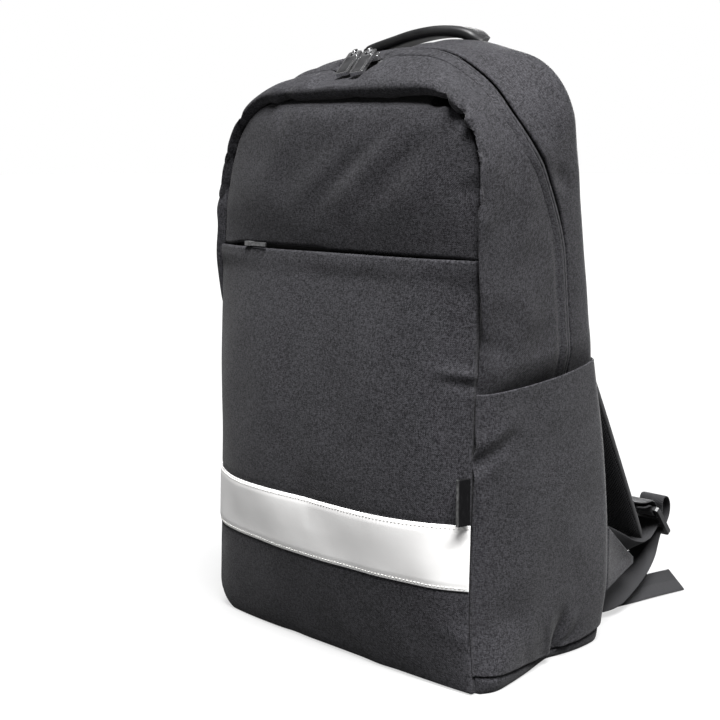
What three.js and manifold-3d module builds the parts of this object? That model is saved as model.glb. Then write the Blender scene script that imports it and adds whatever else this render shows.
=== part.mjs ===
// Backpack standing on its base. Millimetres, +Z up, front towards -Y, origin at the middle of the base.
import * as THREE from "three";
import Module from "manifold-3d";

const { Vector3, Matrix4 } = THREE;
const { lerp, clamp, smoothstep } = THREE.MathUtils;

const wasm = await Module();
wasm.setup();

// Clearance and cloth
const GAP = 0.4;
const WALL = 3;
const PANEL_WALL = 2.6;
const POCKET_CLOTH = 1.6;
const BAND_CLOTH = 0.9;
const ZIP_TAPE = 1.2;

// Body: front seam plane, back line and sideways taper
const FRONT_SEAM = -85;
const FRONT_LEAN = 0.031;
const SIDE_TAPER = 0.024 / 435;
const BACK_LINE = [
  { z: 0, y: 83 },
  { z: 50, y: 90 },
  { z: 110, y: 88 },
  { z: 170, y: 80 },
  { z: 240, y: 64.5 },
  { z: 330, y: 49.5 },
  { z: 420, y: 36.5 },
  { z: 485, y: 26 },
];

// Arched sections of the gusset, from the front seam (share 0) to the back seam (share 1)
const SECTIONS = [
  { share: 0, half: 145, top: 434, radius: 54, crown: 0, puff: 0 },
  { share: 0.02, half: 148.5, top: 438, radius: 55, crown: 1, puff: -8 },
  { share: 0.06, half: 150.5, top: 445.5, radius: 57, crown: 4, puff: -14 },
  { share: 0.15, half: 151.5, top: 454.5, radius: 63, crown: 9, puff: -12 },
  { share: 0.25, half: 152, top: 462.5, radius: 70, crown: 14, puff: -6.5 },
  { share: 0.37, half: 152.5, top: 471, radius: 75, crown: 17.5, puff: 0 },
  { share: 0.65, half: 151.5, top: 480, radius: 64, crown: 19.5, puff: 0 },
  { share: 0.88, half: 150, top: 484, radius: 48, crown: 20.5, puff: 0 },
  { share: 0.96, half: 147, top: 481, radius: 42, crown: 19, puff: 0 },
  { share: 1, half: 139, top: 474, radius: 37, crown: 17, puff: 0 },
];
const TOP_END = 0.2;
const CORNER_END = 0.42;
const BASE_END = 0.976;
const HOOD_SEAM = 0.32;
const PUFF_FADE = { from: 225, to: 330 };
const LIP_CLOTH = 1;
const LIP_ROLL = { from: 0.04, to: 0.16 };

// Main zip and the cloth flap over it
const ZIP_SHARE = { top: 0.34, side: 0.7 };
const ZIP_TURN = { from: 0.31, to: 0.54 };
const ZIP_END = 0.69;
const ZIP_SLOT = 10;
const SLOT_CLOSE = { from: 0.73, to: 0.77 };
const ZIP_RIDGE = { width: 4.4, crest: 3.2, proud: 0.1, sunk: 1.1 };
const FLAP = { front: 3.6, rear: 7, from: 0.9, to: 2.1 };
const FLAP_STOPS = { left: -0.085, right: 0.032 };

// Front panels
const PANEL_POWER = 4;
const SLIT = { below: 320.5, above: 326 };
const PANEL_FOOT = 0.6;
const PANEL_CORNER = { left: 26, right: 6 };
const PANEL_TOP_GAP = 0.7;
const LOWER_PUFF = [
  { z: 0, puff: 4 },
  { z: 10, puff: 8 },
  { z: 40, puff: 15 },
  { z: 80, puff: 22 },
  { z: 130, puff: 32 },
  { z: 200, puff: 30 },
  { z: 260, puff: 22 },
  { z: 321, puff: 10 },
];
const UPPER_PUFF = [
  { z: 326, puff: 7 },
  { z: 365, puff: 12 },
  { z: 405, puff: 10 },
  { z: 422, puff: 5 },
  { z: 434, puff: 0 },
];
const BAND = { from: 78, to: 128, reach: 0.982 };
const SLIT_ZIP = { from: 313, to: 333, reach: 0.93, behind: 3 };
const LABEL = { x: 142.6, y: -87.4, length: 11.5, width: 3.2, fold: 0.9, from: 129, to: 164, turn: 0.3 };

// Side pockets, their foot seam and the dent of the wall behind them
const POCKET_EDGE = [
  { share: 0, z: 224 },
  { share: 0.2, z: 225 },
  { share: 0.55, z: 228.5 },
  { share: 0.8, z: 233 },
  { share: 1, z: 237.5 },
];
const POCKET = { from: 0.006, to: 0.985, proud: 1.2, bulge: 3 };
const FOOT_EDGE = [
  { share: 0, z: 14.5 },
  { share: 0.1, z: 13 },
  { share: 0.25, z: 11 },
  { share: 0.45, z: 8 },
  { share: 0.53, z: 7 },
  { share: 0.62, z: 9 },
  { share: 0.75, z: 9.5 },
  { share: 0.88, z: 12 },
  { share: 1, z: 15 },
];
const FOOT_BULGE = [
  { share: 0, bulge: 5 },
  { share: 0.1, bulge: 8.5 },
  { share: 0.22, bulge: 5.5 },
  { share: 0.33, bulge: 1.5 },
  { share: 0.43, bulge: -2.5 },
  { share: 0.52, bulge: -6 },
  { share: 0.58, bulge: -7.5 },
  { share: 0.65, bulge: -5 },
  { share: 0.74, bulge: -2.5 },
  { share: 0.85, bulge: -1.5 },
  { share: 1, bulge: -2 },
];
const FOOT_HEIGHT = 60;
const DENT = { edge: 3.4, middle: 5, below: 6, above: 22 };

// Base and back
const BASE = { cloth: 3, turn: 4, below: 0.8 };
const BACK_PAD = { edge: 3, fill: 7, acrossPower: 6, upPower: 8 };

// Grab handle
const GRIP_ROUTE = [
  { x: -68, y: 27, z: 482.7 },
  { x: -54, y: 24, z: 485.2 },
  { x: -30, y: 22, z: 489.2 },
  { x: -6, y: 20, z: 492.7 },
  { x: 18, y: 20, z: 494.2 },
  { x: 38, y: 21, z: 492.7 },
  { x: 50, y: 24, z: 489.2 },
  { x: 56, y: 27, z: 484 },
];
const GRIP = { width: 25, thick: 9.4 };
const GRIP_END = { width: 18, thick: 2.2, drop: 6.5, out: 6.5 };

// Shoulder straps, the locks on their ends and the webbing below, listed for the right side
const STRAP_ROUTE = [
  { x: 55, y: 47, z: 460, width: 62 },
  { x: 57, y: 54.5, z: 425, width: 64 },
  { x: 62, y: 63.5, z: 375, width: 64 },
  { x: 70, y: 75.5, z: 310, width: 62 },
  { x: 80, y: 99, z: 236, width: 58 },
  { x: 88, y: 126, z: 171, width: 54 },
  { x: 93, y: 151.5, z: 115, width: 50 },
  { x: 95, y: 176, z: 66, width: 46 },
];
const STRAP_THICK = 11;
const LOCK = { x: 96, y: 222, z: 66, tilt: 128, width: 34, length: 34, thick: 4.4, corner: 3 };
const LOCK_SLOTS = [
  { at: -10, width: 27, height: 6.4 },
  { at: 0, width: 27, height: 6.4 },
  { at: 10, width: 27, height: 6.4 },
];
const WEB = { width: 25, thick: 1.6 };
const TAB_ROUTE = [
  { x: 96, y: 173.5, z: 93.5 },
  { x: 96, y: 184, z: 89.8 },
  { x: 96, y: 198, z: 87 },
  { x: 96, y: 210.5, z: 86.2 },
  { x: 96, y: 215.5, z: 81.3 },
  { x: 96, y: 217.8, z: 76.7 },
  { x: 96, y: 215.8, z: 73.9 },
  { x: 96, y: 212.6, z: 72.6 },
  { x: 96, y: 208.8, z: 76 },
  { x: 96, y: 206.9, z: 82.1 },
  { x: 96, y: 197, z: 82.6 },
  { x: 96, y: 186, z: 85.2 },
];
const WEB_ROUTE = [
  { x: 123.5, y: 113, z: 73, roll: 82 },
  { x: 117, y: 139, z: 61.5, roll: 66 },
  { x: 113, y: 160, z: 53, roll: 47 },
  { x: 107, y: 180, z: 50, roll: 28 },
  { x: 100.5, y: 196, z: 51, roll: 12 },
  { x: 97, y: 207, z: 53.5, roll: 3 },
  { x: 96, y: 218, z: 61.4, roll: 0 },
  { x: 96, y: 222, z: 66, roll: 0 },
  { x: 96, y: 225, z: 70.3, roll: 0 },
  { x: 96, y: 225.8, z: 76.6, roll: 0 },
  { x: 96, y: 225.5, z: 82.7, roll: 0 },
  { x: 96, y: 228.1, z: 86.6, roll: 0 },
  { x: 96, y: 233.7, z: 85.9, roll: 0 },
  { x: 96, y: 237.5, z: 79.4, roll: 0 },
  { x: 96, y: 237.1, z: 70.2, roll: 0 },
  { x: 96, y: 232.6, z: 62.1, roll: 0 },
  { x: 96, y: 228.2, z: 58.1, roll: 0 },
  { x: 96, y: 223.9, z: 53.8, roll: 0 },
  { x: 97, y: 214, z: 39, roll: -10 },
  { x: 103, y: 191.8, z: 28.6, roll: -24 },
  { x: 108, y: 164.6, z: 19.9, roll: -33 },
  { x: 112, y: 139.4, z: 15.2, roll: -36 },
  { x: 110, y: 127, z: 14, roll: -36 },
  { x: 106, y: 124.5, z: 13.8, roll: -36 },
  { x: 103, y: 133, z: 11.5, roll: -36 },
  { x: 103.5, y: 165, z: 8.6, roll: -35 },
  { x: 109, y: 203, z: 8.3, roll: -34 },
  { x: 116, y: 240, z: 8.2, roll: -34 },
];
const WING = [
  { x: 134.5, y: 99.5, z: 34 },
  { x: 134, y: 100, z: 90 },
  { x: 118, y: 163, z: 47 },
  { x: 118, y: 163, z: 41 },
];
const WING_CLOTH = 2.4;

// Zip sliders and their hinged pulls
const SLIDERS = [
  { side: "left", along: -0.052, spin: 15 },
  { side: "right", along: -0.009, spin: 15 },
];
const SLIDER = { base: 0.7, height: 4, arch: 2.4, archHalf: 3.4, archTop: 10.8, archWall: 1.2 };
const PULL = { axis: 7.6, length: 31, width: 12, thick: 2.8, bar: 1.1, rim: 1.4, droop: 13 };
const PULL_EYE = { half: 2.7, from: 1.1, to: 5.6 };
const PULL_WINDOW = { from: 7.2, to: 29.4 };
const SLIT_SLIDER = { x: -87, y: -90.2, z: 323.3, turn: -0.1 };

// Grid steps, closer together at the top of the sides and at the front seam
const SIDE_CROWD = 1.4;
const LIP_CROWD = 1.5;
const STEPS = {
  panel: { across: 14, lower: 14, upper: 9 },
  gusset: { hood: 20, side: 18, depth: 7, rear: 52, rearDepth: 4 },
  band: { across: 14, up: 3, zip: 2 },
  pocket: { across: 14, up: 8 },
  base: { across: 14, deep: 8 },
  back: { across: 10, up: 14 },
  route: { zip: 46, grip: 20, gripEnd: 6, strap: 20, tab: 20, web: 55 },
};

const FINISH = {
  shell: { color: 0x37373a, roughness: 0.9 },
  band: { color: 0xe8e4da, roughness: 0.6 },
  trim: { color: 0x151517, roughness: 0.7 },
  metal: { color: 0x8d8d90, roughness: 0.3, metalness: 1 },
  mesh: { color: 0x2a2a2c, roughness: 0.95 },
  webbing: { color: 0x222224, roughness: 0.85 },
  plastic: { color: 0x121213, roughness: 0.45 },
};

// Smooth value of one column of a table, read at a value of its key column
function readTable(rows, key, column, at) {
  const last = rows.length - 1;
  const x = clamp(at, rows[0][key], rows[last][key]);
  const next = rows.findIndex((row, i) => i > 0 && x <= row[key]);
  const slope = (i) => {
    const a = rows[Math.max(i - 1, 0)];
    const b = rows[Math.min(i + 1, last)];
    return (b[column] - a[column]) / (b[key] - a[key]);
  };
  const a = rows[next - 1];
  const b = rows[next];
  const span = b[key] - a[key];
  const k = (x - a[key]) / span;
  const start = a[column] * (1 + 2 * k) * (1 - k) ** 2 + slope(next - 1) * span * k * (1 - k) ** 2;
  const end = b[column] * k * k * (3 - 2 * k) - slope(next) * span * k * k * (1 - k);
  return start + end;
}

const frontSeam = (z) => FRONT_SEAM + FRONT_LEAN * z;
const backSeam = (z) => readTable(BACK_LINE, "z", "y", z);

function sectionAt(share) {
  const read = (column) => readTable(SECTIONS, "share", column, share);
  const columns = ["half", "top", "radius", "crown", "puff"];
  return Object.fromEntries(columns.map((column) => [column, read(column)]));
}

// Point of an arched section: along 0 at the top middle, 1 at the foot of the right side, -1 of the left
function archPoint(along, section) {
  const reach = Math.abs(along);
  const flat = section.half - section.radius;
  const shoulder = section.top - section.radius;
  let x = section.half;
  let rise = section.top;
  if (reach < TOP_END) {
    x = (flat * reach) / TOP_END;
  } else if (reach < CORNER_END) {
    const turn = ((reach - TOP_END) / (CORNER_END - TOP_END)) * (Math.PI / 2);
    x = flat + section.radius * Math.sin(turn);
    rise = shoulder + section.radius * Math.cos(turn);
  } else {
    rise = lerp(shoulder, section.crown, (reach - CORNER_END) / (1 - CORNER_END));
  }
  const z = rise - section.crown * (x / section.half) ** 2;
  return { x: Math.sign(along) * x * (1 - SIDE_TAPER * z), z };
}

const pocketEdge = (share) => readTable(POCKET_EDGE, "share", "z", share);
const footEdge = (share) => readTable(FOOT_EDGE, "share", "z", share);

// Sag of the cloth above the base, outward where positive
function footBulge(share, z) {
  return readTable(FOOT_BULGE, "share", "bulge", share) * (1 - smoothstep(z, 0, FOOT_HEIGHT));
}

// How far the wall is pushed in behind a side pocket
function dentAt(share, z) {
  const edge = pocketEdge(share);
  const under = 1 - smoothstep(z, edge - DENT.below, edge + DENT.above);
  return under * (DENT.edge + DENT.middle * Math.sin(Math.PI * clamp(share, 0, 1)));
}

function gussetPoint(along, share) {
  const section = sectionAt(share);
  const { x, z } = archPoint(along, section);
  const forward = section.puff * smoothstep(z, PUFF_FADE.from, PUFF_FADE.to);
  const y = lerp(frontSeam(z), backSeam(z), share) + forward;
  const inward = dentAt(share, z) - Math.min(footBulge(share, z), 0);
  return new Vector3(x - Math.sign(along) * inward, y, z);
}

// Outward direction of the gusset
function gussetNormal(along, share) {
  const step = 0.002;
  const run = gussetPoint(along + step, share).sub(gussetPoint(along - step, share));
  const near = gussetPoint(along, Math.max(share - step, 0));
  const across = gussetPoint(along, Math.min(share + step, 1)).sub(near);
  return run.cross(across).normalize();
}

// Inner face of the padded gusset, which is thin where it rolls into the front seam
function gussetInside(along, share) {
  const thick = lerp(LIP_CLOTH, WALL, smoothstep(share, LIP_ROLL.from, LIP_ROLL.to));
  return gussetPoint(along, share).addScaledVector(gussetNormal(along, share), -thick);
}

function zipShare(along) {
  return lerp(ZIP_SHARE.top, ZIP_SHARE.side, smoothstep(Math.abs(along), ZIP_TURN.from, ZIP_TURN.to));
}

// Share of the depth at a distance across the zip, positive to the rear
function besideZip(along, offset) {
  const step = 0.002;
  const a = gussetPoint(along - step, zipShare(along - step));
  const b = gussetPoint(along + step, zipShare(along + step));
  const slant = (b.y - a.y) / Math.hypot(b.x - a.x, b.z - a.z);
  const depth = backSeam(a.z) - frontSeam(a.z);
  return zipShare(along) + (offset * Math.hypot(1, slant)) / depth;
}

// Half width of the slot that the zip lies in, which closes to a seam below the zip's ends
function slotHalf(along) {
  return lerp(ZIP_SLOT / 2, GAP / 2, smoothstep(Math.abs(along), SLOT_CLOSE.from, SLOT_CLOSE.to));
}

// Position, rearward side and outward direction on the zip line
function zipFrame(along) {
  const step = 0.002;
  const share = zipShare(along);
  const ahead = gussetPoint(along + step, zipShare(along + step));
  const run = ahead.sub(gussetPoint(along - step, zipShare(along - step))).normalize();
  const across = gussetPoint(along, share + step).sub(gussetPoint(along, share - step));
  const up = run.clone().cross(across).normalize();
  return { origin: gussetPoint(along, share), run, side: up.clone().cross(run), up };
}

function puffAt(rows, u, z) {
  return readTable(rows, "z", "puff", z) * (1 - Math.abs(u) ** PANEL_POWER);
}

// Outer face of a front panel: u across from -1 to 1, along up the edge as on the front seam
function panelPoint(rows, u, along) {
  const { x, z } = archPoint(along, sectionAt(0));
  const corner = u < 0 ? PANEL_CORNER.left : PANEL_CORNER.right;
  const rounding = corner - Math.sqrt(corner ** 2 - Math.max(corner - z, 0) ** 2);
  return new Vector3(u * (x - rounding), frontSeam(z) - GAP - PANEL_WALL - puffAt(rows, u, z), z);
}

// Place along the front seam at a height on the straight part of the side
function alongAt(z) {
  const shoulder = SECTIONS[0].top - SECTIONS[0].radius;
  return lerp(1, CORNER_END, z / shoulder);
}

function signedVolume(points, triangles) {
  return triangles.reduce((sum, [a, b, c]) => {
    const cross = points[b].clone().cross(points[c]);
    return sum + points[a].dot(cross) / 6;
  }, 0);
}

// Geometry of a closed surface, its faces turned outward
function closedGeometry(points, triangles) {
  const outward = signedVolume(points, triangles) > 0;
  const index = triangles.flatMap(([a, b, c]) => (outward ? [a, b, c] : [a, c, b]));
  const geometry = new THREE.BufferGeometry().setFromPoints(points);
  geometry.setIndex(index);
  geometry.computeVertexNormals();
  return geometry;
}

// Closed solid between two surfaces over the unit square
function shellSolid(outer, inner, columns, rows) {
  const points = [];
  [outer, inner].forEach((surface) => {
    for (let j = 0; j <= rows; j += 1) {
      for (let i = 0; i <= columns; i += 1) points.push(surface(i / columns, j / rows));
    }
  });
  const layer = (columns + 1) * (rows + 1);
  const at = (i, j) => j * (columns + 1) + i;
  const triangles = [];
  for (let j = 0; j < rows; j += 1) {
    for (let i = 0; i < columns; i += 1) {
      const [a, b, c, d] = [at(i, j), at(i + 1, j), at(i + 1, j + 1), at(i, j + 1)];
      triangles.push([a, b, c], [a, c, d]);
      triangles.push([layer + a, layer + c, layer + b], [layer + a, layer + d, layer + c]);
    }
  }
  const rim = [];
  for (let i = 0; i < columns; i += 1) rim.push(at(i, 0));
  for (let j = 0; j < rows; j += 1) rim.push(at(columns, j));
  for (let i = columns; i > 0; i -= 1) rim.push(at(i, rows));
  for (let j = rows; j > 0; j -= 1) rim.push(at(0, j));
  rim.forEach((p, i) => {
    const q = rim[(i + 1) % rim.length];
    triangles.push([q, p, layer + p], [q, layer + p, layer + q]);
  });
  return closedGeometry(points, triangles);
}

// The same surface moved along its normals, which point the way the outward vector does at its middle
function offsetSurface(surface, distance, outward) {
  const step = 1e-3;
  const normal = (u, v) => {
    const du = surface(Math.min(u + step, 1), v).sub(surface(Math.max(u - step, 0), v));
    const dv = surface(u, Math.min(v + step, 1)).sub(surface(u, Math.max(v - step, 0)));
    return du.cross(dv).normalize();
  };
  const facing = Math.sign(normal(0.5, 0.5).dot(outward));
  return (u, v) => surface(u, v).addScaledVector(normal(u, v), facing * distance);
}

function sheetSolid(surface, thickness, outward, columns, rows) {
  return shellSolid(surface, offsetSurface(surface, -thickness, outward), columns, rows);
}

// Closed solid swept through frames, with the outline of each frame in its side and up directions
function sweepSolid(frames, outlineAt) {
  const outlines = frames.map(outlineAt);
  const count = outlines[0].length;
  const corner = ({ origin, side, up }, [across, over]) =>
    origin.clone().addScaledVector(side, across).addScaledVector(up, over);
  const points = frames.flatMap((frame, k) => outlines[k].map((spot) => corner(frame, spot)));
  const triangles = [];
  for (let k = 0; k + 1 < frames.length; k += 1) {
    for (let i = 0; i < count; i += 1) {
      const j = (i + 1) % count;
      const [a, b, c, d] = [k * count + i, k * count + j, (k + 1) * count + j, (k + 1) * count + i];
      triangles.push([a, b, c], [a, c, d]);
    }
  }
  const cap = THREE.ShapeUtils.triangulateShape(outlines[0].map(([x, y]) => new THREE.Vector2(x, y)), []);
  const far = (frames.length - 1) * count;
  const turned = THREE.ShapeUtils.area(outlines[0].map(([x, y]) => ({ x, y }))) > 0;
  cap.forEach((corners) => {
    const [a, b, c] = turned ? corners : corners.toReversed();
    triangles.push([a, c, b], [far + a, far + b, far + c]);
  });
  return closedGeometry(points, triangles);
}

const asVectors = (rows) => rows.map((row) => new Vector3(row.x, row.y, row.z));
const routeCurve = (rows) => new THREE.CatmullRomCurve3(asVectors(rows), false, "centripetal");

// Frames along a route whose width lies near the X axis, turned by each row's roll
function routeFrames(rows, steps) {
  const curve = routeCurve(rows);
  return Array.from({ length: steps + 1 }, (_, i) => {
    const t = i / steps;
    const place = t * (rows.length - 1);
    const k = Math.min(Math.floor(place), rows.length - 2);
    const read = (column) => lerp(rows[k][column] ?? 0, rows[k + 1][column] ?? 0, place - k);
    const roll = THREE.MathUtils.degToRad(read("roll"));
    const run = curve.getTangent(t);
    const hint = new Vector3(Math.cos(roll), 0, Math.sin(roll));
    const side = hint.addScaledVector(run, -hint.dot(run)).normalize();
    return { origin: curve.getPoint(t), side, up: side.clone().cross(run), width: read("width") };
  });
}

const rectangle = (half, thick) => [
  [-half, -thick / 2],
  [half, -thick / 2],
  [half, thick / 2],
  [-half, thick / 2],
];

const cushion = (half, thick) => [
  [half, 0],
  [half * 0.95, thick * 0.3],
  [half * 0.82, thick * 0.5],
  [-half * 0.82, thick * 0.5],
  [-half * 0.95, thick * 0.3],
  [-half, 0],
  [-half * 0.95, -thick * 0.3],
  [-half * 0.82, -thick * 0.5],
  [half * 0.82, -thick * 0.5],
  [half * 0.95, -thick * 0.3],
];

function roundedOutline(path, x0, y0, x1, y1, radius) {
  path.moveTo(x0 + radius, y0);
  path.lineTo(x1 - radius, y0);
  path.quadraticCurveTo(x1, y0, x1, y0 + radius);
  path.lineTo(x1, y1 - radius);
  path.quadraticCurveTo(x1, y1, x1 - radius, y1);
  path.lineTo(x0 + radius, y1);
  path.quadraticCurveTo(x0, y1, x0, y1 - radius);
  path.lineTo(x0, y0 + radius);
  path.quadraticCurveTo(x0, y0, x0 + radius, y0);
  return path;
}

function extruded(shape, depth) {
  const geometry = new THREE.ExtrudeGeometry(shape, { depth, bevelEnabled: false, curveSegments: 2 });
  return geometry.translate(0, 0, -depth / 2);
}

function toManifold(geometry) {
  const source = geometry.index ? geometry.toNonIndexed() : geometry;
  const mesh = new wasm.Mesh({
    numProp: 3,
    vertProperties: new Float32Array(source.getAttribute("position").array),
    triVerts: Uint32Array.from({ length: source.getAttribute("position").count }, (_, i) => i),
  });
  mesh.merge();
  return new wasm.Manifold(mesh);
}

function joined(...geometries) {
  const solid = geometries.map(toManifold).reduce((a, b) => a.add(b));
  const { vertProperties, triVerts } = solid.getMesh();
  const geometry = new THREE.BufferGeometry();
  geometry.setAttribute("position", new THREE.BufferAttribute(vertProperties, 3));
  geometry.setIndex(new THREE.BufferAttribute(triVerts, 1));
  geometry.computeVertexNormals();
  return geometry;
}

const root = new THREE.Group();
root.name = "backpack";

function place(name, geometry, finish) {
  const mesh = new THREE.Mesh(geometry, new THREE.MeshStandardMaterial(FINISH[finish]));
  mesh.name = name;
  root.add(mesh);
  return mesh;
}

const mirrored = (rows) => rows.map((row) => ({ ...row, x: -row.x, roll: -(row.roll ?? 0) }));
const RIGHT = new Vector3(1, 0, 0);
const LEFT = new Vector3(-1, 0, 0);
const FRONT = new Vector3(0, -1, 0);
const SIDES = [
  { name: "left", sign: -1, outward: LEFT },
  { name: "right", sign: 1, outward: RIGHT },
];
const seamStep = GAP / 400;
const edgeShare = GAP / 150;

// Front panels, the band, the slit zip and the label
const lowerPanel = (u, v) => {
  const along = lerp(alongAt(PANEL_FOOT), alongAt(SLIT.below), v);
  return panelPoint(LOWER_PUFF, 2 * u - 1, along);
};
const panelTop = lerp(TOP_END, CORNER_END, 0.01);
const upperPanel = (u, v) => {
  const point = panelPoint(UPPER_PUFF, 2 * u - 1, lerp(alongAt(SLIT.above), panelTop, v));
  return point.setZ(point.z - PANEL_TOP_GAP * v);
};
const stripFace = ({ from, to, reach }) => (u, v) =>
  panelPoint(LOWER_PUFF, lerp(-reach, reach, u), alongAt(lerp(from, to, v)));
const bandFace = stripFace(BAND);
const slitFace = stripFace(SLIT_ZIP);
const slitDepth = PANEL_WALL + SLIT_ZIP.behind;
const { across: panelAcross, lower: lowerRows, upper: upperRows } = STEPS.panel;
place("front_panel_lower", sheetSolid(lowerPanel, PANEL_WALL, FRONT, panelAcross, lowerRows), "shell");
place("front_panel_upper", sheetSolid(upperPanel, PANEL_WALL, FRONT, panelAcross, upperRows), "shell");
place(
  "reflective_band",
  shellSolid(
    offsetSurface(bandFace, GAP + BAND_CLOTH, FRONT),
    offsetSurface(bandFace, GAP, FRONT),
    STEPS.band.across,
    STEPS.band.up,
  ),
  "band",
);
place(
  "pocket_zip",
  shellSolid(
    offsetSurface(slitFace, -slitDepth, FRONT),
    offsetSurface(slitFace, -slitDepth - ZIP_TAPE, FRONT),
    STEPS.band.across,
    STEPS.band.zip,
  ),
  "trim",
);

function labelShape() {
  const half = LABEL.width / 2;
  const shape = new THREE.Shape();
  shape.moveTo(-half, 0);
  shape.lineTo(-half, LABEL.length - half);
  shape.quadraticCurveTo(-half, LABEL.length, 0, LABEL.length);
  shape.quadraticCurveTo(half, LABEL.length, half, LABEL.length - half);
  shape.lineTo(half, 0);
  shape.lineTo(LABEL.fold / 2, 0);
  shape.lineTo(LABEL.fold / 2, LABEL.length - 2 * half);
  shape.lineTo(-LABEL.fold / 2, LABEL.length - 2 * half);
  shape.lineTo(-LABEL.fold / 2, 0);
  return shape;
}
const label = place("label_tab", extruded(labelShape(), LABEL.to - LABEL.from), "trim");
label.position.set(LABEL.x, LABEL.y, (LABEL.from + LABEL.to) / 2);
label.rotation.z = Math.PI - LABEL.turn;

// Gusset: hood over the front, side walls, and the rear strip that runs from foot to foot
function gussetPiece(name, from, to, shares, columns, rows, crowd = 1) {
  const face = (surface) => (u, v) => {
    const along = lerp(from, to, u ** crowd);
    return surface(along, shares(along, v));
  };
  place(name, shellSolid(face(gussetPoint), face(gussetInside), columns, rows), "shell");
}
const beforeZip = (along, v) => lerp(edgeShare, besideZip(along, -slotHalf(along)), v ** LIP_CROWD);
const behindZip = (along, v) => lerp(besideZip(along, slotHalf(along)), 1 - edgeShare, v);
const { hood, side: sideSteps, depth: depthSteps, rear, rearDepth } = STEPS.gusset;
gussetPiece("top_hood", -HOOD_SEAM + seamStep, HOOD_SEAM - seamStep, beforeZip, hood, depthSteps);
SIDES.forEach(({ name, sign }) => {
  const top = sign * (HOOD_SEAM + seamStep);
  gussetPiece(`side_panel_${name}`, top, sign * BASE_END, beforeZip, sideSteps, depthSteps, SIDE_CROWD);
});
gussetPiece("back_gusset", -BASE_END, BASE_END, behindZip, rear, rearDepth);

// Main zip, its flaps
const tapeHalf = ZIP_SLOT / 2 - 2.5 * GAP;
const zipOutline = [
  [-tapeHalf, -ZIP_RIDGE.sunk - ZIP_TAPE],
  [tapeHalf, -ZIP_RIDGE.sunk - ZIP_TAPE],
  [tapeHalf, -ZIP_RIDGE.sunk],
  [ZIP_RIDGE.width / 2, -ZIP_RIDGE.sunk],
  [ZIP_RIDGE.crest / 2, ZIP_RIDGE.proud],
  [-ZIP_RIDGE.crest / 2, ZIP_RIDGE.proud],
  [-ZIP_RIDGE.width / 2, -ZIP_RIDGE.sunk],
  [-tapeHalf, -ZIP_RIDGE.sunk],
];
function zipFrames(from, to, steps) {
  return Array.from({ length: steps + 1 }, (_, i) => zipFrame(lerp(from, to, i / steps)));
}
place("main_zip", sweepSolid(zipFrames(-ZIP_END, ZIP_END, STEPS.route.zip), () => zipOutline), "trim");
const flapOutline = [
  [-FLAP.front, FLAP.from],
  [FLAP.rear, FLAP.from],
  [FLAP.rear, FLAP.to],
  [-FLAP.front, FLAP.to],
];
SIDES.forEach(({ name, sign }) => {
  const frames = zipFrames(FLAP_STOPS[name], sign * ZIP_END, STEPS.route.zip / 2);
  place(`zip_flap_${name}`, sweepSolid(frames, () => flapOutline), "shell");
});

// Sliders with an arch that holds the cross bar of the pull
function sliderGeometry() {
  const plan = new THREE.Shape();
  plan.moveTo(-6, -3);
  plan.lineTo(-4.5, -4.4);
  plan.lineTo(4, -4.4);
  plan.lineTo(6.5, -2.6);
  plan.lineTo(6.5, 2.6);
  plan.lineTo(4, 4.4);
  plan.lineTo(-4.5, 4.4);
  plan.lineTo(-6, 3);
  const body = extruded(plan, SLIDER.height).translate(0, 0, SLIDER.base + SLIDER.height / 2);
  const foot = SLIDER.base + SLIDER.height - 1;
  const inside = SLIDER.archHalf - SLIDER.archWall;
  const arch = new THREE.Shape();
  arch.moveTo(-SLIDER.archHalf, foot);
  arch.lineTo(-inside, foot);
  arch.lineTo(-inside, SLIDER.archTop - SLIDER.archWall);
  arch.lineTo(inside, SLIDER.archTop - SLIDER.archWall);
  arch.lineTo(inside, foot);
  arch.lineTo(SLIDER.archHalf, foot);
  arch.lineTo(SLIDER.archHalf, SLIDER.archTop - 1.4);
  arch.lineTo(SLIDER.archHalf - 1.4, SLIDER.archTop);
  arch.lineTo(1.4 - SLIDER.archHalf, SLIDER.archTop);
  arch.lineTo(-SLIDER.archHalf, SLIDER.archTop - 1.4);
  const bail = extruded(arch, SLIDER.arch).rotateX(Math.PI / 2).rotateZ(Math.PI / 2);
  return joined(body, bail);
}

function pullGeometry() {
  const half = PULL.width / 2;
  const shape = roundedOutline(new THREE.Shape(), -half, -PULL.length, half, PULL.bar, 1.6);
  const { half: eyeHalf, from: eyeFrom, to: eyeTo } = PULL_EYE;
  const eye = roundedOutline(new THREE.Path(), -eyeHalf, -eyeTo, eyeHalf, -eyeFrom, 0.6);
  const inner = half - PULL.rim;
  const window = roundedOutline(new THREE.Path(), -inner, -PULL_WINDOW.to, inner, -PULL_WINDOW.from, 1);
  shape.holes.push(eye, window);
  return extruded(shape, PULL.thick);
}

function insertGeometry() {
  const half = PULL.width / 2 - PULL.rim - GAP;
  const from = -PULL_WINDOW.from - GAP;
  const to = -PULL_WINDOW.to + GAP;
  return extruded(roundedOutline(new THREE.Shape(), -half, to, half, from, 0.8), PULL.thick + 0.4);
}

SLIDERS.forEach(({ side, along, spin }) => {
  const frame = zipFrame(along);
  const seat = new Matrix4().makeBasis(frame.run, frame.side, frame.up).setPosition(frame.origin);
  seat.multiply(new Matrix4().makeRotationZ(THREE.MathUtils.degToRad(spin)));
  const droop = new Matrix4().makeRotationX(THREE.MathUtils.degToRad(PULL.droop));
  const hinge = seat.clone().multiply(new Matrix4().makeTranslation(0, 0, PULL.axis)).multiply(droop);
  place(`zip_slider_${side}`, sliderGeometry().applyMatrix4(seat), "metal");
  place(`zip_pull_${side}`, pullGeometry().applyMatrix4(hinge), "metal");
  place(`pull_insert_${side}`, insertGeometry().applyMatrix4(hinge), "trim");
});

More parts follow.
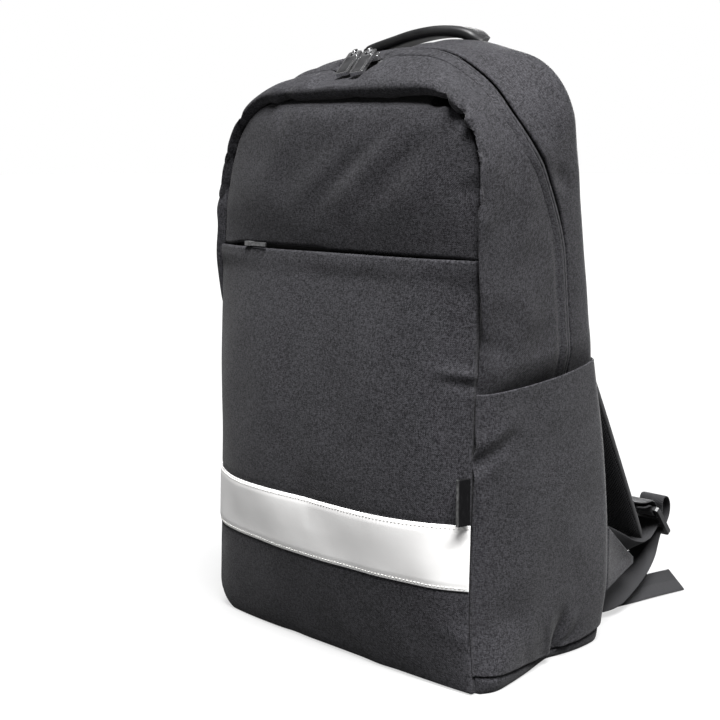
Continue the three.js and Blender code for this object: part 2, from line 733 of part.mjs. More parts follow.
const slitBody = new THREE.BoxGeometry(8, 4.6, 3.8).translate(-10, 0, 0);
const slitPull = new THREE.BoxGeometry(21, 1.6, 3.2).translate(3.5, -0.6, 0);
const slitSlider = place("pocket_zip_slider", joined(slitBody, slitPull), "metal");
slitSlider.position.set(SLIT_SLIDER.x, SLIT_SLIDER.y, SLIT_SLIDER.z);
slitSlider.rotation.z = SLIT_SLIDER.turn;

// Side pockets, open at the top
SIDES.forEach(({ name, sign, outward }) => {
  const face = (u, v) => {
    const share = lerp(POCKET.from, POCKET.to, u);
    const z = lerp(footEdge(share), pocketEdge(share), v);
    const bulge = POCKET.bulge * Math.sin(Math.PI * u) * Math.sin(Math.PI * lerp(0.1, 0.75, v));
    const x = sectionAt(share).half * (1 - SIDE_TAPER * z) + POCKET.proud + bulge + footBulge(share, z);
    return new Vector3(sign * x, lerp(frontSeam(z), backSeam(z), share), z);
  };
  const { across, up } = STEPS.pocket;
  place(`side_pocket_${name}`, sheetSolid(face, POCKET_CLOTH, outward, across, up), "shell");
});

// Base, flat underneath and rolled up at the sides and back
const baseRim = (share) => footEdge(share) - BASE.below;
const baseShare = (v) => lerp(edgeShare, 1, Math.sin((v * Math.PI) / 2));
const baseFace = (u, v) => {
  const share = baseShare(v);
  const half = sectionAt(share).half - GAP + footBulge(share, 0);
  const x = half * Math.sin(((2 * u - 1) * Math.PI) / 2);
  const depth = backSeam(0) - frontSeam(0);
  const inset = Math.min(half - Math.abs(x), (1 - share) * depth, BASE.turn);
  const rise = baseRim(share) * (1 - Math.sqrt(1 - (1 - inset / BASE.turn) ** 2));
  return new Vector3(x, lerp(frontSeam(0), backSeam(0), share), rise);
};
const baseInside = (u, v) => {
  const point = baseFace(u, v);
  const shrink = (BASE.cloth * point.z) / baseRim(baseShare(v));
  const inward = -Math.sign(point.x) * shrink;
  const forward = -shrink * smoothstep(v, 0.6, 1);
  return point.add(new Vector3(inward, forward, BASE.cloth - shrink));
};
place("bottom_panel", shellSolid(baseFace, baseInside, STEPS.base.across, STEPS.base.deep), "shell");

// Padded back, flat towards the bag
const backEdge = sectionAt(1);
const backPoint = (u, v, depth) => {
  const along = lerp(BASE_END, lerp(TOP_END, CORNER_END, 0.02), v);
  const edge = archPoint(along, backEdge);
  const x = (2 * u - 1) * edge.x;
  const crown = backEdge.crown * (1 - (x / backEdge.half) ** 2) * smoothstep(v, 0.5, 1);
  const inside = backEdge.crown * (1 - (edge.x / backEdge.half) ** 2) * smoothstep(v, 0.5, 1);
  const z = edge.z + crown - inside;
  return new Vector3(x, backSeam(z) + GAP + depth, z);
};
const backFill = (u, v) => {
  const { edge, fill, acrossPower, upPower } = BACK_PAD;
  return edge + fill * (1 - Math.abs(2 * u - 1) ** acrossPower) * (1 - Math.abs(2 * v - 1) ** upPower);
};
place(
  "back_panel",
  shellSolid(
    (u, v) => backPoint(u, v, backFill(u, v)),
    (u, v) => backPoint(u, v, 0),
    STEPS.back.across,
    STEPS.back.up,
  ),
  "mesh",
);

// Grab handle: a padded grip and the webbing at its two ends
function handleFrames(rows, steps) {
  const curve = routeCurve(rows);
  return Array.from({ length: steps + 1 }, (_, i) => {
    const run = curve.getTangent(i / steps);
    const up = run.clone().cross(new Vector3(0, 1, 0)).normalize();
    return { origin: curve.getPoint(i / steps), side: up.clone().cross(run), up };
  });
}
const gripFrames = handleFrames(GRIP_ROUTE, STEPS.route.grip);
place("handle_grip", sweepSolid(gripFrames, () => cushion(GRIP.width / 2, GRIP.thick)), "trim");
SIDES.forEach(({ name, sign }) => {
  const end = sign < 0 ? GRIP_ROUTE[0] : GRIP_ROUTE.at(-1);
  const rows = [
    { x: end.x + sign * 3.6, y: end.y, z: end.z - 1.4 },
    { x: end.x + sign * (GRIP_END.out - 1), y: end.y, z: end.z - GRIP_END.drop * 0.45 },
    { x: end.x + sign * (GRIP_END.out + 1), y: end.y, z: end.z - GRIP_END.drop },
  ];
  const frames = handleFrames(rows, STEPS.route.gripEnd);
  const outline = rectangle(GRIP_END.width / 2, GRIP_END.thick);
  place(`handle_webbing_${name}`, sweepSolid(frames, () => outline), "webbing");
});

// Shoulder straps, locks and webbing
function lockGeometry() {
  const [x, y] = [LOCK.width / 2, LOCK.length / 2];
  const shape = roundedOutline(new THREE.Shape(), -x, -y, x, y, LOCK.corner);
  LOCK_SLOTS.forEach(({ at, width, height }) => {
    const [half, low, high] = [width / 2, at - height / 2, at + height / 2];
    shape.holes.push(roundedOutline(new THREE.Path(), -half, low, half, high, 1));
  });
  return extruded(shape, LOCK.thick);
}

function wingGeometry(rows, thick) {
  const corners = asVectors(rows);
  const normal = corners[1].clone().sub(corners[0]).cross(corners[2].clone().sub(corners[0])).normalize();
  const points = [...corners, ...corners.map((corner) => corner.clone().addScaledVector(normal, thick))];
  const triangles = [
    [0, 1, 2],
    [0, 2, 3],
    [4, 6, 5],
    [4, 7, 6],
  ];
  [0, 1, 2, 3].forEach((p) => {
    const q = (p + 1) % 4;
    triangles.push([q, p, 4 + p], [q, 4 + p, 4 + q]);
  });
  return closedGeometry(points, triangles);
}

SIDES.forEach(({ name, sign }) => {
  const own = (rows) => (sign > 0 ? rows : mirrored(rows));
  const strap = routeFrames(own(STRAP_ROUTE), STEPS.route.strap);
  const padding = (frame) => cushion(frame.width / 2, STRAP_THICK);
  place(`shoulder_strap_${name}`, sweepSolid(strap, padding), "mesh");
  const lock = place(`ladder_lock_${name}`, lockGeometry(), "plastic");
  lock.position.set(sign * LOCK.x, LOCK.y, LOCK.z);
  lock.rotation.x = THREE.MathUtils.degToRad(LOCK.tilt);
  const band = () => rectangle(WEB.width / 2, WEB.thick);
  const tab = routeFrames(own(TAB_ROUTE), STEPS.route.tab);
  const webbing = routeFrames(own(WEB_ROUTE), STEPS.route.web);
  place(`lock_tab_${name}`, sweepSolid(tab, band), "webbing");
  place(`adjuster_webbing_${name}`, sweepSolid(webbing, band), "webbing");
  place(`anchor_wing_${name}`, wingGeometry(own(WING), sign * WING_CLOTH), "shell");
});

export default root;
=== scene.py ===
"""Looks of an upright laptop backpack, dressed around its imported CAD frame.

Lengths are in millimetres in the frame of the CAD model: +Z up, front towards -Y, and they become metres
only where a mesh is written.
"""

from __future__ import annotations

import logging
import math
from dataclasses import dataclass, field
from enum import Enum
from functools import cached_property
from typing import Callable, NamedTuple, Protocol, Sequence

import bmesh
import bpy
import numpy as np
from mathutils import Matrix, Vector

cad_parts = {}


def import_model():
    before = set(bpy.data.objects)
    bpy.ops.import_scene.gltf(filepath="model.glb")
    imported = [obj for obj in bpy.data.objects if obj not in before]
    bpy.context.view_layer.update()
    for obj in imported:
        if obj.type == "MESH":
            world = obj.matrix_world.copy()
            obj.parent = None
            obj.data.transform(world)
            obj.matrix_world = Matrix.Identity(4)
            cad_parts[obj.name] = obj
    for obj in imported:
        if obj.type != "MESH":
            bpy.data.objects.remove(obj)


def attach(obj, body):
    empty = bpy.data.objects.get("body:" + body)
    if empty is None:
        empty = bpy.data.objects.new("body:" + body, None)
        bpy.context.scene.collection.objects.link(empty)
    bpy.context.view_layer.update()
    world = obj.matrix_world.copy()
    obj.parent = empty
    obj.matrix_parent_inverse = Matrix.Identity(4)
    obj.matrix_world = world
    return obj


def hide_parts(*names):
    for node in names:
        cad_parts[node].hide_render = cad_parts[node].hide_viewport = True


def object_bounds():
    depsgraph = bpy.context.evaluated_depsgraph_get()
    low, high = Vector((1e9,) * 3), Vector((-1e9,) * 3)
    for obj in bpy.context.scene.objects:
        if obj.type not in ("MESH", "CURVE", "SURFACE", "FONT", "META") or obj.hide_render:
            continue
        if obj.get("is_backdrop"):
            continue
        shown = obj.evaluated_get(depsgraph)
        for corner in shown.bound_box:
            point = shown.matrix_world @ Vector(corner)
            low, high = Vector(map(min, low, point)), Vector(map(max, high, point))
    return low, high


LOG = logging.getLogger("backpack")
Array = np.ndarray
Material = bpy.types.Material
Object = bpy.types.Object
Pair = tuple[float, float]
Rows = tuple[Pair, ...]
Colour = tuple[float, float, float]
Point = tuple[float, float, float]
MM = 0.001
THIN_EDGE = 0.12
EDGE_POWER = 0.8
SEAM_SHARE = 0.4 / 150.0
BODY = "bag"


class Side(Enum):
    """The two sides of the bag, with the sign of their X."""

    LEFT = -1
    RIGHT = 1

    @property
    def label(self) -> str:
        """The side's name in node names."""
        return self.name.lower()


class Slot(Enum):
    """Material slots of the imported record."""

    SHELL = "shell_cloth"
    BAND = "pale_band"
    TRIM = "black_trim"
    METAL = "zip_metal"
    MESH = "air_mesh"
    HANDLE = "handle_cover"
    WEBBING = "webbing"
    PLASTIC = "black_plastic"


# Numbers on whole arrays


def mix(a: Array | float, b: Array | float, t: Array | float) -> Array | float:
    """Value t of the way from a to b."""
    return a + (b - a) * t


def smooth(x: Array | float, low: float, high: float) -> Array:
    """Rise from 0 at low to 1 at high, level at both ends: t squared times 3 - 2t."""
    t = np.clip((np.asarray(x, float) - low) / (high - low), 0.0, 1.0)
    return t * t * (3.0 - 2.0 * t)


def window(x: Array | float, rise: Pair, fall: Pair) -> Array:
    """Smooth rise from 0 to 1 over one range, and back to 0 over a later one."""
    return smooth(x, *rise) * (1 - smooth(x, *fall))


def bell(x: Array, width: float) -> Array:
    """Bell curve, 1 at 0: e to the minus square of x over the width."""
    return np.exp(-((x / width) ** 2))


def run_lengths(points: Array, axis: int = 0) -> Array:
    """Length of a line of points from its first one to each."""
    first = points.take([0], axis=axis)
    return np.cumsum(np.linalg.norm(np.diff(points, axis=axis, prepend=first), axis=-1), axis=axis)


def unit(vectors: Array) -> Array:
    """The same vectors with length 1."""
    return vectors / np.maximum(np.linalg.norm(vectors, axis=-1, keepdims=True), 1e-9)


def stack(x: Array, y: Array, z: Array) -> Array:
    """Points from three arrays that broadcast together."""
    return np.stack(np.broadcast_arrays(x, y, z), axis=-1)


def stations(count: int, length: float, close: Sequence[float] = (0.4, 1.0, 1.9, 3.2)) -> Array:
    """Places from 0 to 1 along a side, with more of them next to both ends.

    Args:
        count: Number of even places.
        length: Length of the side.
        close: Distances from each end that get a place as well.

    Returns:
        Rising places from 0 to 1.
    """
    near = np.array(close) / length
    return np.unique(np.concatenate([np.linspace(0.0, 1.0, count), near, 1.0 - near]))


def hermite(a: Array, b: Array, rise_a: Array, rise_b: Array, k: Array) -> Array:
    """Cubic Hermite piece, k of the way from a to b, with the rises that its slopes at both ends give."""
    start = a * (1 + 2 * k) * (1 - k) ** 2 + rise_a * k * (1 - k) ** 2
    return start + (b * k * k * (3 - 2 * k) - rise_b * k * k * (1 - k))


class Curve:
    """Smooth curve through a table's rows: cubic Hermite pieces whose slopes are central differences."""

    def __init__(self, rows: Sequence[Pair]) -> None:
        """Keeps the rows of key and value, and works out a slope for each.

        Args:
            rows: Rows of key and value.
        """
        self.keys, self.values = np.array(rows, float).T
        order = np.arange(len(self.keys))
        low, high = np.maximum(order - 1, 0), np.minimum(order + 1, len(order) - 1)
        self.slopes = (self.values[high] - self.values[low]) / (self.keys[high] - self.keys[low])

    def __call__(self, at: Array | float) -> Array:
        """Values of the curve at keys, which are held inside the table.

        Args:
            at: Keys.

        Returns:
            Values.
        """
        x = np.clip(at, self.keys[0], self.keys[-1])
        right = np.clip(np.searchsorted(self.keys, x, side="left"), 1, len(self.keys) - 1)
        left = right - 1
        span = self.keys[right] - self.keys[left]
        k = (x - self.keys[left]) / span
        rises = (self.slopes[left] * span, self.slopes[right] * span)
        return hermite(self.values[left], self.values[right], *rises, k)


class Route:
    """Centripetal Catmull-Rom curve through points, read by the row that a place lies between."""

    FINE = 60

    def __init__(self, points: Sequence[Sequence[float]]) -> None:
        """Keeps the points with one more beyond each end, in line with the last two.

        Args:
            points: Points that the curve goes through.
        """
        inner = np.array(points, float)
        self.count = len(inner)
        ends = 2 * inner[[0, -1]] - inner[[1, -2]]
        self.points = np.concatenate([ends[:1], inner, ends[1:]])

    def at(self, places: Array) -> Array:
        """Points of the curve at row numbers that may lie between rows.

        Args:
            places: Row numbers.

        Returns:
            Points.
        """
        row = np.clip(np.floor(places).astype(int), 0, self.count - 2)
        k = (places - row)[:, None]
        p0, p1, p2, p3 = (self.points[row + i] for i in range(4))
        steps = ((p0, p1), (p1, p2), (p2, p3))
        d0, d1, d2 = (np.sqrt(np.linalg.norm(b - a, axis=1))[:, None] for a, b in steps)
        m1 = d1 * ((p1 - p0) / d0 - (p2 - p0) / (d0 + d1)) + (p2 - p1)
        m2 = d1 * ((p3 - p2) / d2 - (p3 - p1) / (d1 + d2)) + (p2 - p1)
        return hermite(p1, p2, m1, m2, k)

    def spread(self, count: int) -> tuple[Array, Array]:
        """Evenly spaced points along the curve.

        Args:
            count: Number of points.

        Returns:
            The points and the row number of each.
        """
        fine = np.linspace(0.0, self.count - 1.0, self.FINE * self.count)
        run = run_lengths(self.at(fine))
        places = np.interp(np.linspace(0.0, run[-1], count), run, fine)
        return self.at(places), places


# Meshes


@dataclass
class Grid:
    """Points of a surface over two parameters, rows by columns, with cloth lengths across and up."""

    points: Array
    facing: Array | None = None
    border: Array | None = None
    cloth: Array = field(init=False)

    def __post_init__(self) -> None:
        """Cloth lengths: along each row from its middle, and along each column from the first row."""
        across = run_lengths(self.points, axis=1)
        self.cloth = np.stack([across - across[:, -1:] / 2, run_lengths(self.points)], axis=-1)

    def normals(self) -> Array:
        """Outward directions, as given or as the cross product of the steps along a row and a column."""
        if self.facing is not None:
            return self.facing
        return unit(np.cross(np.gradient(self.points, axis=1), np.gradient(self.points, axis=0)))

    def raised(self, height: Array | float) -> "Grid":
        """The surface moved outward by a height at each point."""
        shift = np.broadcast_to(np.asarray(height, float), self.points.shape[:2])
        return Grid(self.points + self.normals() * shift[..., None])

    def edge(self) -> Array:
        """Distance of each point from the nearest border along the cloth, as given or as measured.

        Returns:
            One distance for each point.
        """
        if self.border is not None:
            return self.border
        x, y = self.cloth[..., 0], self.cloth[..., 1]
        sides = [x - x[:, :1], x[:, -1:] - x, y - y[:1], y[-1:] - y]
        return np.minimum.reduce(sides)

    def seamed(self, depth: float, inward: float) -> "Grid":
        """The surface with a strip of cloth turned in along its first and last columns, as behind a seam.

        Args:
            depth: Length of the strip along Y.
            inward: How far it leans towards the middle.

        Returns:
            The wider surface.
        """
        parts = (self.points, self.normals(), self.edge())
        wider = [np.concatenate((part[:, :1], part, part[:, -1:]), axis=1) for part in parts]
        turned = wider[0][:, [0, -1]]
        turned[..., 0] -= inward * np.sign(turned[..., 0])
        turned[..., 1] += depth
        wider[0][:, [0, -1]] = turned
        return Grid(*wider)

    def strip(self, first: int, last: int) -> "Grid":
        """Columns first to last, with the directions, borders and lengths that they have in the whole.

        Args:
            first: First column.
            last: Last column.

        Returns:
            That part of the surface.
        """
        cut = slice(first, last + 1)
        part = Grid(self.points[:, cut], self.normals()[:, cut], self.edge()[:, cut])
        part.cloth = self.cloth[:, cut]
        return part


class MeshParts(NamedTuple):
    """Vertices, four-cornered faces and the cloth lengths at each face corner."""

    vertices: Array
    quads: Array
    cloth: Array


def grid_quads(rows: int, columns: int, wrap: bool = False) -> Array:
    """Faces between neighbouring points of a grid, the last column joined to the first if it wraps.

    Args:
        rows: Number of rows.
        columns: Number of columns.
        wrap: Whether it wraps.

    Returns:
        Corner numbers of each face.
    """
    i, j = np.meshgrid(np.arange(rows - 1), np.arange(columns if wrap else columns - 1), indexing="ij")
    after = (j + 1) % columns
    corners = [i * columns + j, i * columns + after, (i + 1) * columns + after, (i + 1) * columns + j]
    return np.stack(corners, axis=-1).reshape(-1, 4)


def shell_parts(grid: Grid, thickness: Array | float, rounding: float, lean: float = 0.5) -> MeshParts:
    """Closed cloth of a thickness under a surface, its edges rounded.

    Both faces come together near the border as a quarter circle does: full thickness times the root of
    1 - (1 - d / rounding) squared, at a distance d from the border.

    Args:
        grid: The outer face.
        thickness: Thickness of the cloth.
        rounding: How far from the border the rounding reaches.
        lean: How much of the rounding the outer face takes, from 0 to 1.

    Returns:
        The closed mesh.
    """
    rows, columns = grid.points.shape[:2]
    near = np.clip(grid.edge() / rounding, 0.0, 1.0)
    full = np.maximum(np.sqrt(1.0 - (1.0 - near) ** 2), THIN_EDGE)
    thick = np.broadcast_to(np.asarray(thickness, float), (rows, columns))
    give = ((1.0 - full) * thick)[..., None]
    normals = grid.normals()
    outer = grid.points - normals * give * lean
    inner = grid.points - normals * (thick[..., None] - give * (1.0 - lean))
    layer = rows * columns
    faces = grid_quads(rows, columns)
    index = np.arange(layer).reshape(rows, columns)
    rim = np.concatenate([index[0, :-1], index[:-1, -1], index[-1, :0:-1], index[:0:-1, 0]])
    after = np.roll(rim, -1)
    band = np.stack([after, rim, rim + layer, after + layer], axis=-1)
    quads = np.concatenate([faces, faces[:, ::-1] + layer, band])
    cloth = np.concatenate([grid.cloth.reshape(-1, 2)] * 2)
    return MeshParts(np.concatenate([outer.reshape(-1, 3), inner.reshape(-1, 3)]), quads, cloth[quads])


def tube_parts(rings: Array) -> MeshParts:
    """Closed tube through rings of points, with its ends drawn together to a point each.

    Args:
        rings: Points, rings by places round each ring.

    Returns:
        The closed mesh.
    """
    middle = rings.mean(axis=1, keepdims=True)
    ends = [np.broadcast_to(middle[k], rings[:1].shape[1:])[None] for k in (0, -1)]
    rings = np.concatenate([ends[0], rings, ends[1]])
    rows, columns = rings.shape[:2]
    looped = np.concatenate([rings, rings[:, :1]], axis=1)
    lengths = Grid(looped).cloth
    lengths[..., 0] -= lengths[:, :1, 0]
    quads = grid_quads(rows, columns, wrap=True)
    row, column = np.divmod(np.arange(len(quads)), columns)
    corners = ((0, 0), (0, 1), (1, 1), (1, 0))
    cloth = np.stack([lengths[row + below, column + right] for below, right in corners], axis=1)
    return MeshParts(rings.reshape(-1, 3), quads, cloth)


def joined_parts(parts: Sequence[MeshParts]) -> MeshParts:
    """Several meshes as one.

    Args:
        parts: The meshes.

    Returns:
        The joined mesh.
    """
    starts = np.cumsum([0] + [len(p.vertices) for p in parts[:-1]])
    vertices, quads, cloth = zip(*((p.vertices, p.quads + s, p.cloth) for p, s in zip(parts, starts)))
    return MeshParts(np.concatenate(vertices), np.concatenate(quads), np.concatenate(cloth))


def outward(mesh: bpy.types.Mesh, sharp_degrees: float) -> None:
    """Merges doubled points, turns the faces outward and keeps sharp edges sharp.

    Args:
        mesh: The mesh.
        sharp_degrees: Angle in degrees past which an edge stays sharp.
    """
    work = bmesh.new()
    work.from_mesh(mesh)
    bmesh.ops.remove_doubles(work, verts=work.verts, dist=1e-6)
    bmesh.ops.dissolve_degenerate(work, edges=work.edges, dist=1e-7)
    bmesh.ops.recalc_face_normals(work, faces=work.faces)
    work.to_mesh(mesh)
    work.free()
    mesh.polygons.foreach_set("use_smooth", np.ones(len(mesh.polygons), bool))
    mesh.set_sharp_from_angle(angle=math.radians(sharp_degrees))
    mesh.update()


def linked(name: str, data: bpy.types.ID) -> Object:
    """A new object with its data, in the scene and at the origin.

    Args:
        name: Name of the object.
        data: Its mesh, lamp or camera.

    Returns:
        The object.
    """
    made = bpy.data.objects.new(name, data)
    bpy.context.scene.collection.objects.link(made)
    return made


def make_object(
    name: str,
    parts: MeshParts,
    *materials: Material,
    index: Array | None = None,
    sharp: float = 50.0,
) -> Object:
    """Writes a mesh in metres, with the cloth lengths in metres as its UV map.

    Args:
        name: Name of the piece.
        parts: The mesh in millimetres.
        materials: The piece's materials.
        index: Which material each face has, or none where it has one.
        sharp: Angle in degrees past which an edge stays sharp.

    Returns:
        The new object, in the scene.
    """
    mesh = bpy.data.meshes.new(name)
    mesh.vertices.add(len(parts.vertices))
    mesh.vertices.foreach_set("co", (parts.vertices * MM).astype(np.float32).ravel())
    mesh.loops.add(parts.quads.size)
    mesh.loops.foreach_set("vertex_index", parts.quads.astype(np.int32).ravel())
    mesh.polygons.add(len(parts.quads))
    mesh.polygons.foreach_set("loop_start", np.arange(0, parts.quads.size, 4, dtype=np.int32))
    layer = mesh.uv_layers.new(name="cloth")
    layer.data.foreach_set("uv", (parts.cloth * MM).astype(np.float32).ravel())
    if index is not None:
        mesh.polygons.foreach_set("material_index", index.astype(np.int32))
    for material in materials:
        mesh.materials.append(material)
    mesh.update(calc_edges=True)
    outward(mesh, sharp)
    return linked(name, mesh)


def bevelled_copy(
    node: str, name: str, width: float, material: Material, flat: float = 1.0, sharp: float = 25.0
) -> Object:
    """A CAD node's solid with clean faces and rounded edges.

    Args:
        node: The CAD node.
        name: Name of the new piece.
        width: Width of the rounding.
        material: The piece's material.
        flat: Angle in degrees below which neighbouring faces become one.
        sharp: Angle in degrees past which an edge is rounded.

    Returns:
        The new object, in the scene.
    """
    mesh = bpy.data.objects[node].data.copy()
    mesh.name = name
    work = bmesh.new()
    work.from_mesh(mesh)
    bmesh.ops.remove_doubles(work, verts=work.verts, dist=1e-6)
    bmesh.ops.dissolve_limit(work, angle_limit=math.radians(flat), verts=work.verts, edges=work.edges)
    work.to_mesh(mesh)
    work.free()
    mesh.materials.clear()
    mesh.materials.append(material)
    piece = linked(name, mesh)
    rounding = piece.modifiers.new("rounded edges", "BEVEL")
    rounding.width = width * MM
    rounding.segments = 3
    rounding.limit_method = "ANGLE"
    rounding.angle_limit = math.radians(sharp)
    mesh.polygons.foreach_set("use_smooth", np.ones(len(mesh.polygons), bool))
    mesh.set_sharp_from_angle(angle=math.radians(sharp))
    return piece


def publish(piece: Object, slot: Slot, *nodes: str, body: str = BODY) -> Object:
    """Puts a piece on its body and in place of CAD nodes, and reports it.

    Args:
        piece: The piece.
        slot: Its material slot; not used.
        nodes: The CAD nodes that it replaces.
        body: Its body.

    Returns:
        The piece.
    """
    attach(piece, body)
    if nodes:
        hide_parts(*nodes)
    LOG.info("%s: %d faces", piece.name, len(piece.data.polygons))
    return piece


def dressed(
    name: str,
    parts: MeshParts,
    slot: Slot,
    *materials: Material,
    fill: float | None = None,
    **looks: object,
) -> Object:
    """Args:
        name: Name of the node and the piece.
        parts: The mesh in millimetres.
        slot: The material slot.
        materials: The piece's materials.
        fill: How full the padding is, from 0 to 1, or none where there is no padding; not used.
        looks: What make_object takes besides.

    Returns:
        The published piece.
    """
    piece = publish(make_object(name, parts, *materials, **looks), slot, name)
    return piece


# Cloth: listed folds, and the gathering of cloth next to its seams


@dataclass(frozen=True)
class Crease:
    """One soft fold between two places of a piece, strongest at its start if it is rooted in a seam."""

    FREE_ENDS = (0.04, 0.96)
    start: Pair
    end: Pair
    width: float
    height: float
    rooted: bool = True

    def __call__(self, x: Array, y: Array) -> Array:
        """Height of the fold: a bell across it, which fades along it.

        Args:
            x: First lengths on the piece.
            y: Second lengths on the piece.

        Returns:
            Heights.
        """
        a, b = np.array(self.start), np.array(self.end)
        run = b - a
        t = np.clip(((x - a[0]) * run[0] + (y - a[1]) * run[1]) / (run @ run), 0.0, 1.0)
        away = np.hypot(x - a[0] - t * run[0], y - a[1] - t * run[1])
        fade = 1.0 - t * t if self.rooted else np.sin(np.pi * np.clip(t, *self.FREE_ENDS))
        return self.height * fade * bell(away, self.width)


def folds(*rows: tuple[float, ...]) -> tuple[Crease, ...]:
    """Folds from rows of start, end, width and height, and False for one that is not rooted."""
    return tuple(Crease(row[:2], row[2:4], *row[4:]) for row in rows)


def creased(x: Array, y: Array, creases: Sequence[Crease]) -> Array:
    """Sum of the folds of a piece."""
    return sum((crease(x, y) for crease in creases), np.zeros_like(x))


@dataclass(frozen=True)
class Unevenness:
    """Slight waviness of stuffed cloth: a sum of sine waves in seeded directions."""

    height: float
    length: float
    seed: int
    waves: int = 9
    spread: Pair = (0.7, 1.6)

    def __call__(self, x: Array, y: Array) -> Array:
        """Height of the waviness at places on the cloth.

        Args:
            x: First lengths on the piece.
            y: Second lengths on the piece.

        Returns:
            Heights.
        """
        draw = np.random.default_rng(self.seed)
        turn, phase = draw.uniform(0, 2 * np.pi, (2, self.waves))
        pitch = 2 * np.pi / (self.length * draw.uniform(*self.spread, self.waves))
        phases = x[..., None] * pitch * np.cos(turn) + y[..., None] * pitch * np.sin(turn) + phase
        return self.height * np.sin(phases).sum(axis=-1) / math.sqrt(self.waves)


@dataclass(frozen=True)
class SeamPull:
    """Cloth simulation of a sewn piece: its border is held, and the cloth by it is longer than the seam."""

    slack: float = 0.035
    reach: float = 26.0
    pressure: float = 0.4
    cap: float = 2.6
    spacing: float = 5.5
    frames: int = 14
    quality: int = 6
    mass: float = 0.25
    stretch: float = 18.0
    shear: float = 8.0
    bending: float = 0.35

    def gathered(self, grid: Grid) -> Grid:
        """The surface with the puckers that the simulation gives it.

        Args:
            grid: The sewn piece, smooth.

        Returns:
            The same grid, moved along its normals by at most about the cap.
        """
        rows, columns = (max(12, round(side / self.spacing)) for side in self.extent(grid))
        pick_row = np.linspace(0, grid.points.shape[0] - 1, rows).round().astype(int)
        pick_column = np.linspace(0, grid.points.shape[1] - 1, columns).round().astype(int)
        coarse = Grid(grid.points[np.ix_(pick_row, pick_column)])
        settled = self.settled(coarse)
        moved = ((settled - coarse.points) * coarse.normals()).sum(axis=-1)
        moved = self.cap * np.tanh((moved - np.median(moved)) / self.cap)
        moved *= smooth(coarse.edge(), 0.0, 2.0 * self.spacing)
        up = self.blending(grid.points.shape[0], pick_row)
        across = self.blending(grid.points.shape[1], pick_column)
        return grid.raised(up @ moved @ across.T)

    @staticmethod
    def extent(grid: Grid) -> Pair:
        """Greatest lengths of the piece up and across."""
        x, y = grid.cloth[..., 0], grid.cloth[..., 1]
        return float(np.ptp(y, axis=0).max()), float(np.ptp(x, axis=1).max())

    @staticmethod
    def blending(count: int, picks: Array) -> Array:
        """Weights that carry values from picked places to all places, by a cubic B-spline between picks.

        Args:
            count: Number of places.
            picks: Numbers of the picked places.

        Returns:
            Weights, places by picks.
        """
        place = np.interp(np.arange(count), picks, np.arange(len(picks)))
        away = np.abs(place[:, None] - np.arange(-1, len(picks) + 1))
        near = 2.0 / 3.0 - away**2 + away**3 / 2.0
        far = np.clip(2.0 - away, 0.0, None) ** 3 / 6.0
        weights = np.where(away < 1.0, near, far)
        weights[:, 1] += weights[:, 0]
        weights[:, -2] += weights[:, -1]
        return weights[:, 1:-1]

    def settled(self, grid: Grid) -> Array:
        """Runs the simulation on a grid and returns where its points end.

        Args:
            grid: The piece before it settles.

        Returns:
            Its points after the last frame.
        """
        rows, columns = grid.points.shape[:2]
        mesh = bpy.data.meshes.new("gathering")
        mesh.from_pydata((grid.points.reshape(-1, 3) * MM).tolist(), [], grid_quads(rows, columns).tolist())
        sewn = linked("gathering", mesh)
        edge = grid.edge().ravel()
        held = sewn.vertex_groups.new(name="seam")
        held.add(np.flatnonzero(edge < 1e-3).tolist(), 1.0, "REPLACE")
        loose = sewn.vertex_groups.new(name="slack")
        levels = np.round(1.0 - smooth(edge, 0.0, self.reach), 1)
        for level in np.unique(levels):
            loose.add(np.flatnonzero(levels == level).tolist(), float(level), "REPLACE")
        cloth = sewn.modifiers.new("cloth", "CLOTH")
        settings = cloth.settings
        settings.quality = self.quality
        settings.mass = self.mass
        settings.tension_stiffness = self.stretch
        settings.compression_stiffness = self.stretch
        settings.shear_stiffness = self.shear
        settings.bending_stiffness = self.bending
        settings.vertex_group_mass = held.name
        settings.vertex_group_shrink = loose.name
        settings.shrink_min = 0.0
        settings.shrink_max = -self.slack
        settings.use_pressure = True
        settings.uniform_pressure_force = self.pressure
        settings.effector_weights.gravity = 0.0
        cloth.collision_settings.use_collision = False
        cloth.point_cache.frame_end = self.frames
        scene = bpy.context.scene
        for frame in range(1, self.frames + 1):
            scene.frame_set(frame)
        evaluated = sewn.evaluated_get(bpy.context.evaluated_depsgraph_get())
        points = np.empty(rows * columns * 3, np.float32)
        evaluated.data.vertices.foreach_get("co", points)
        scene.frame_set(1)
        bpy.data.objects.remove(sewn)
        bpy.data.meshes.remove(mesh)
        return points.reshape(rows, columns, 3) / MM


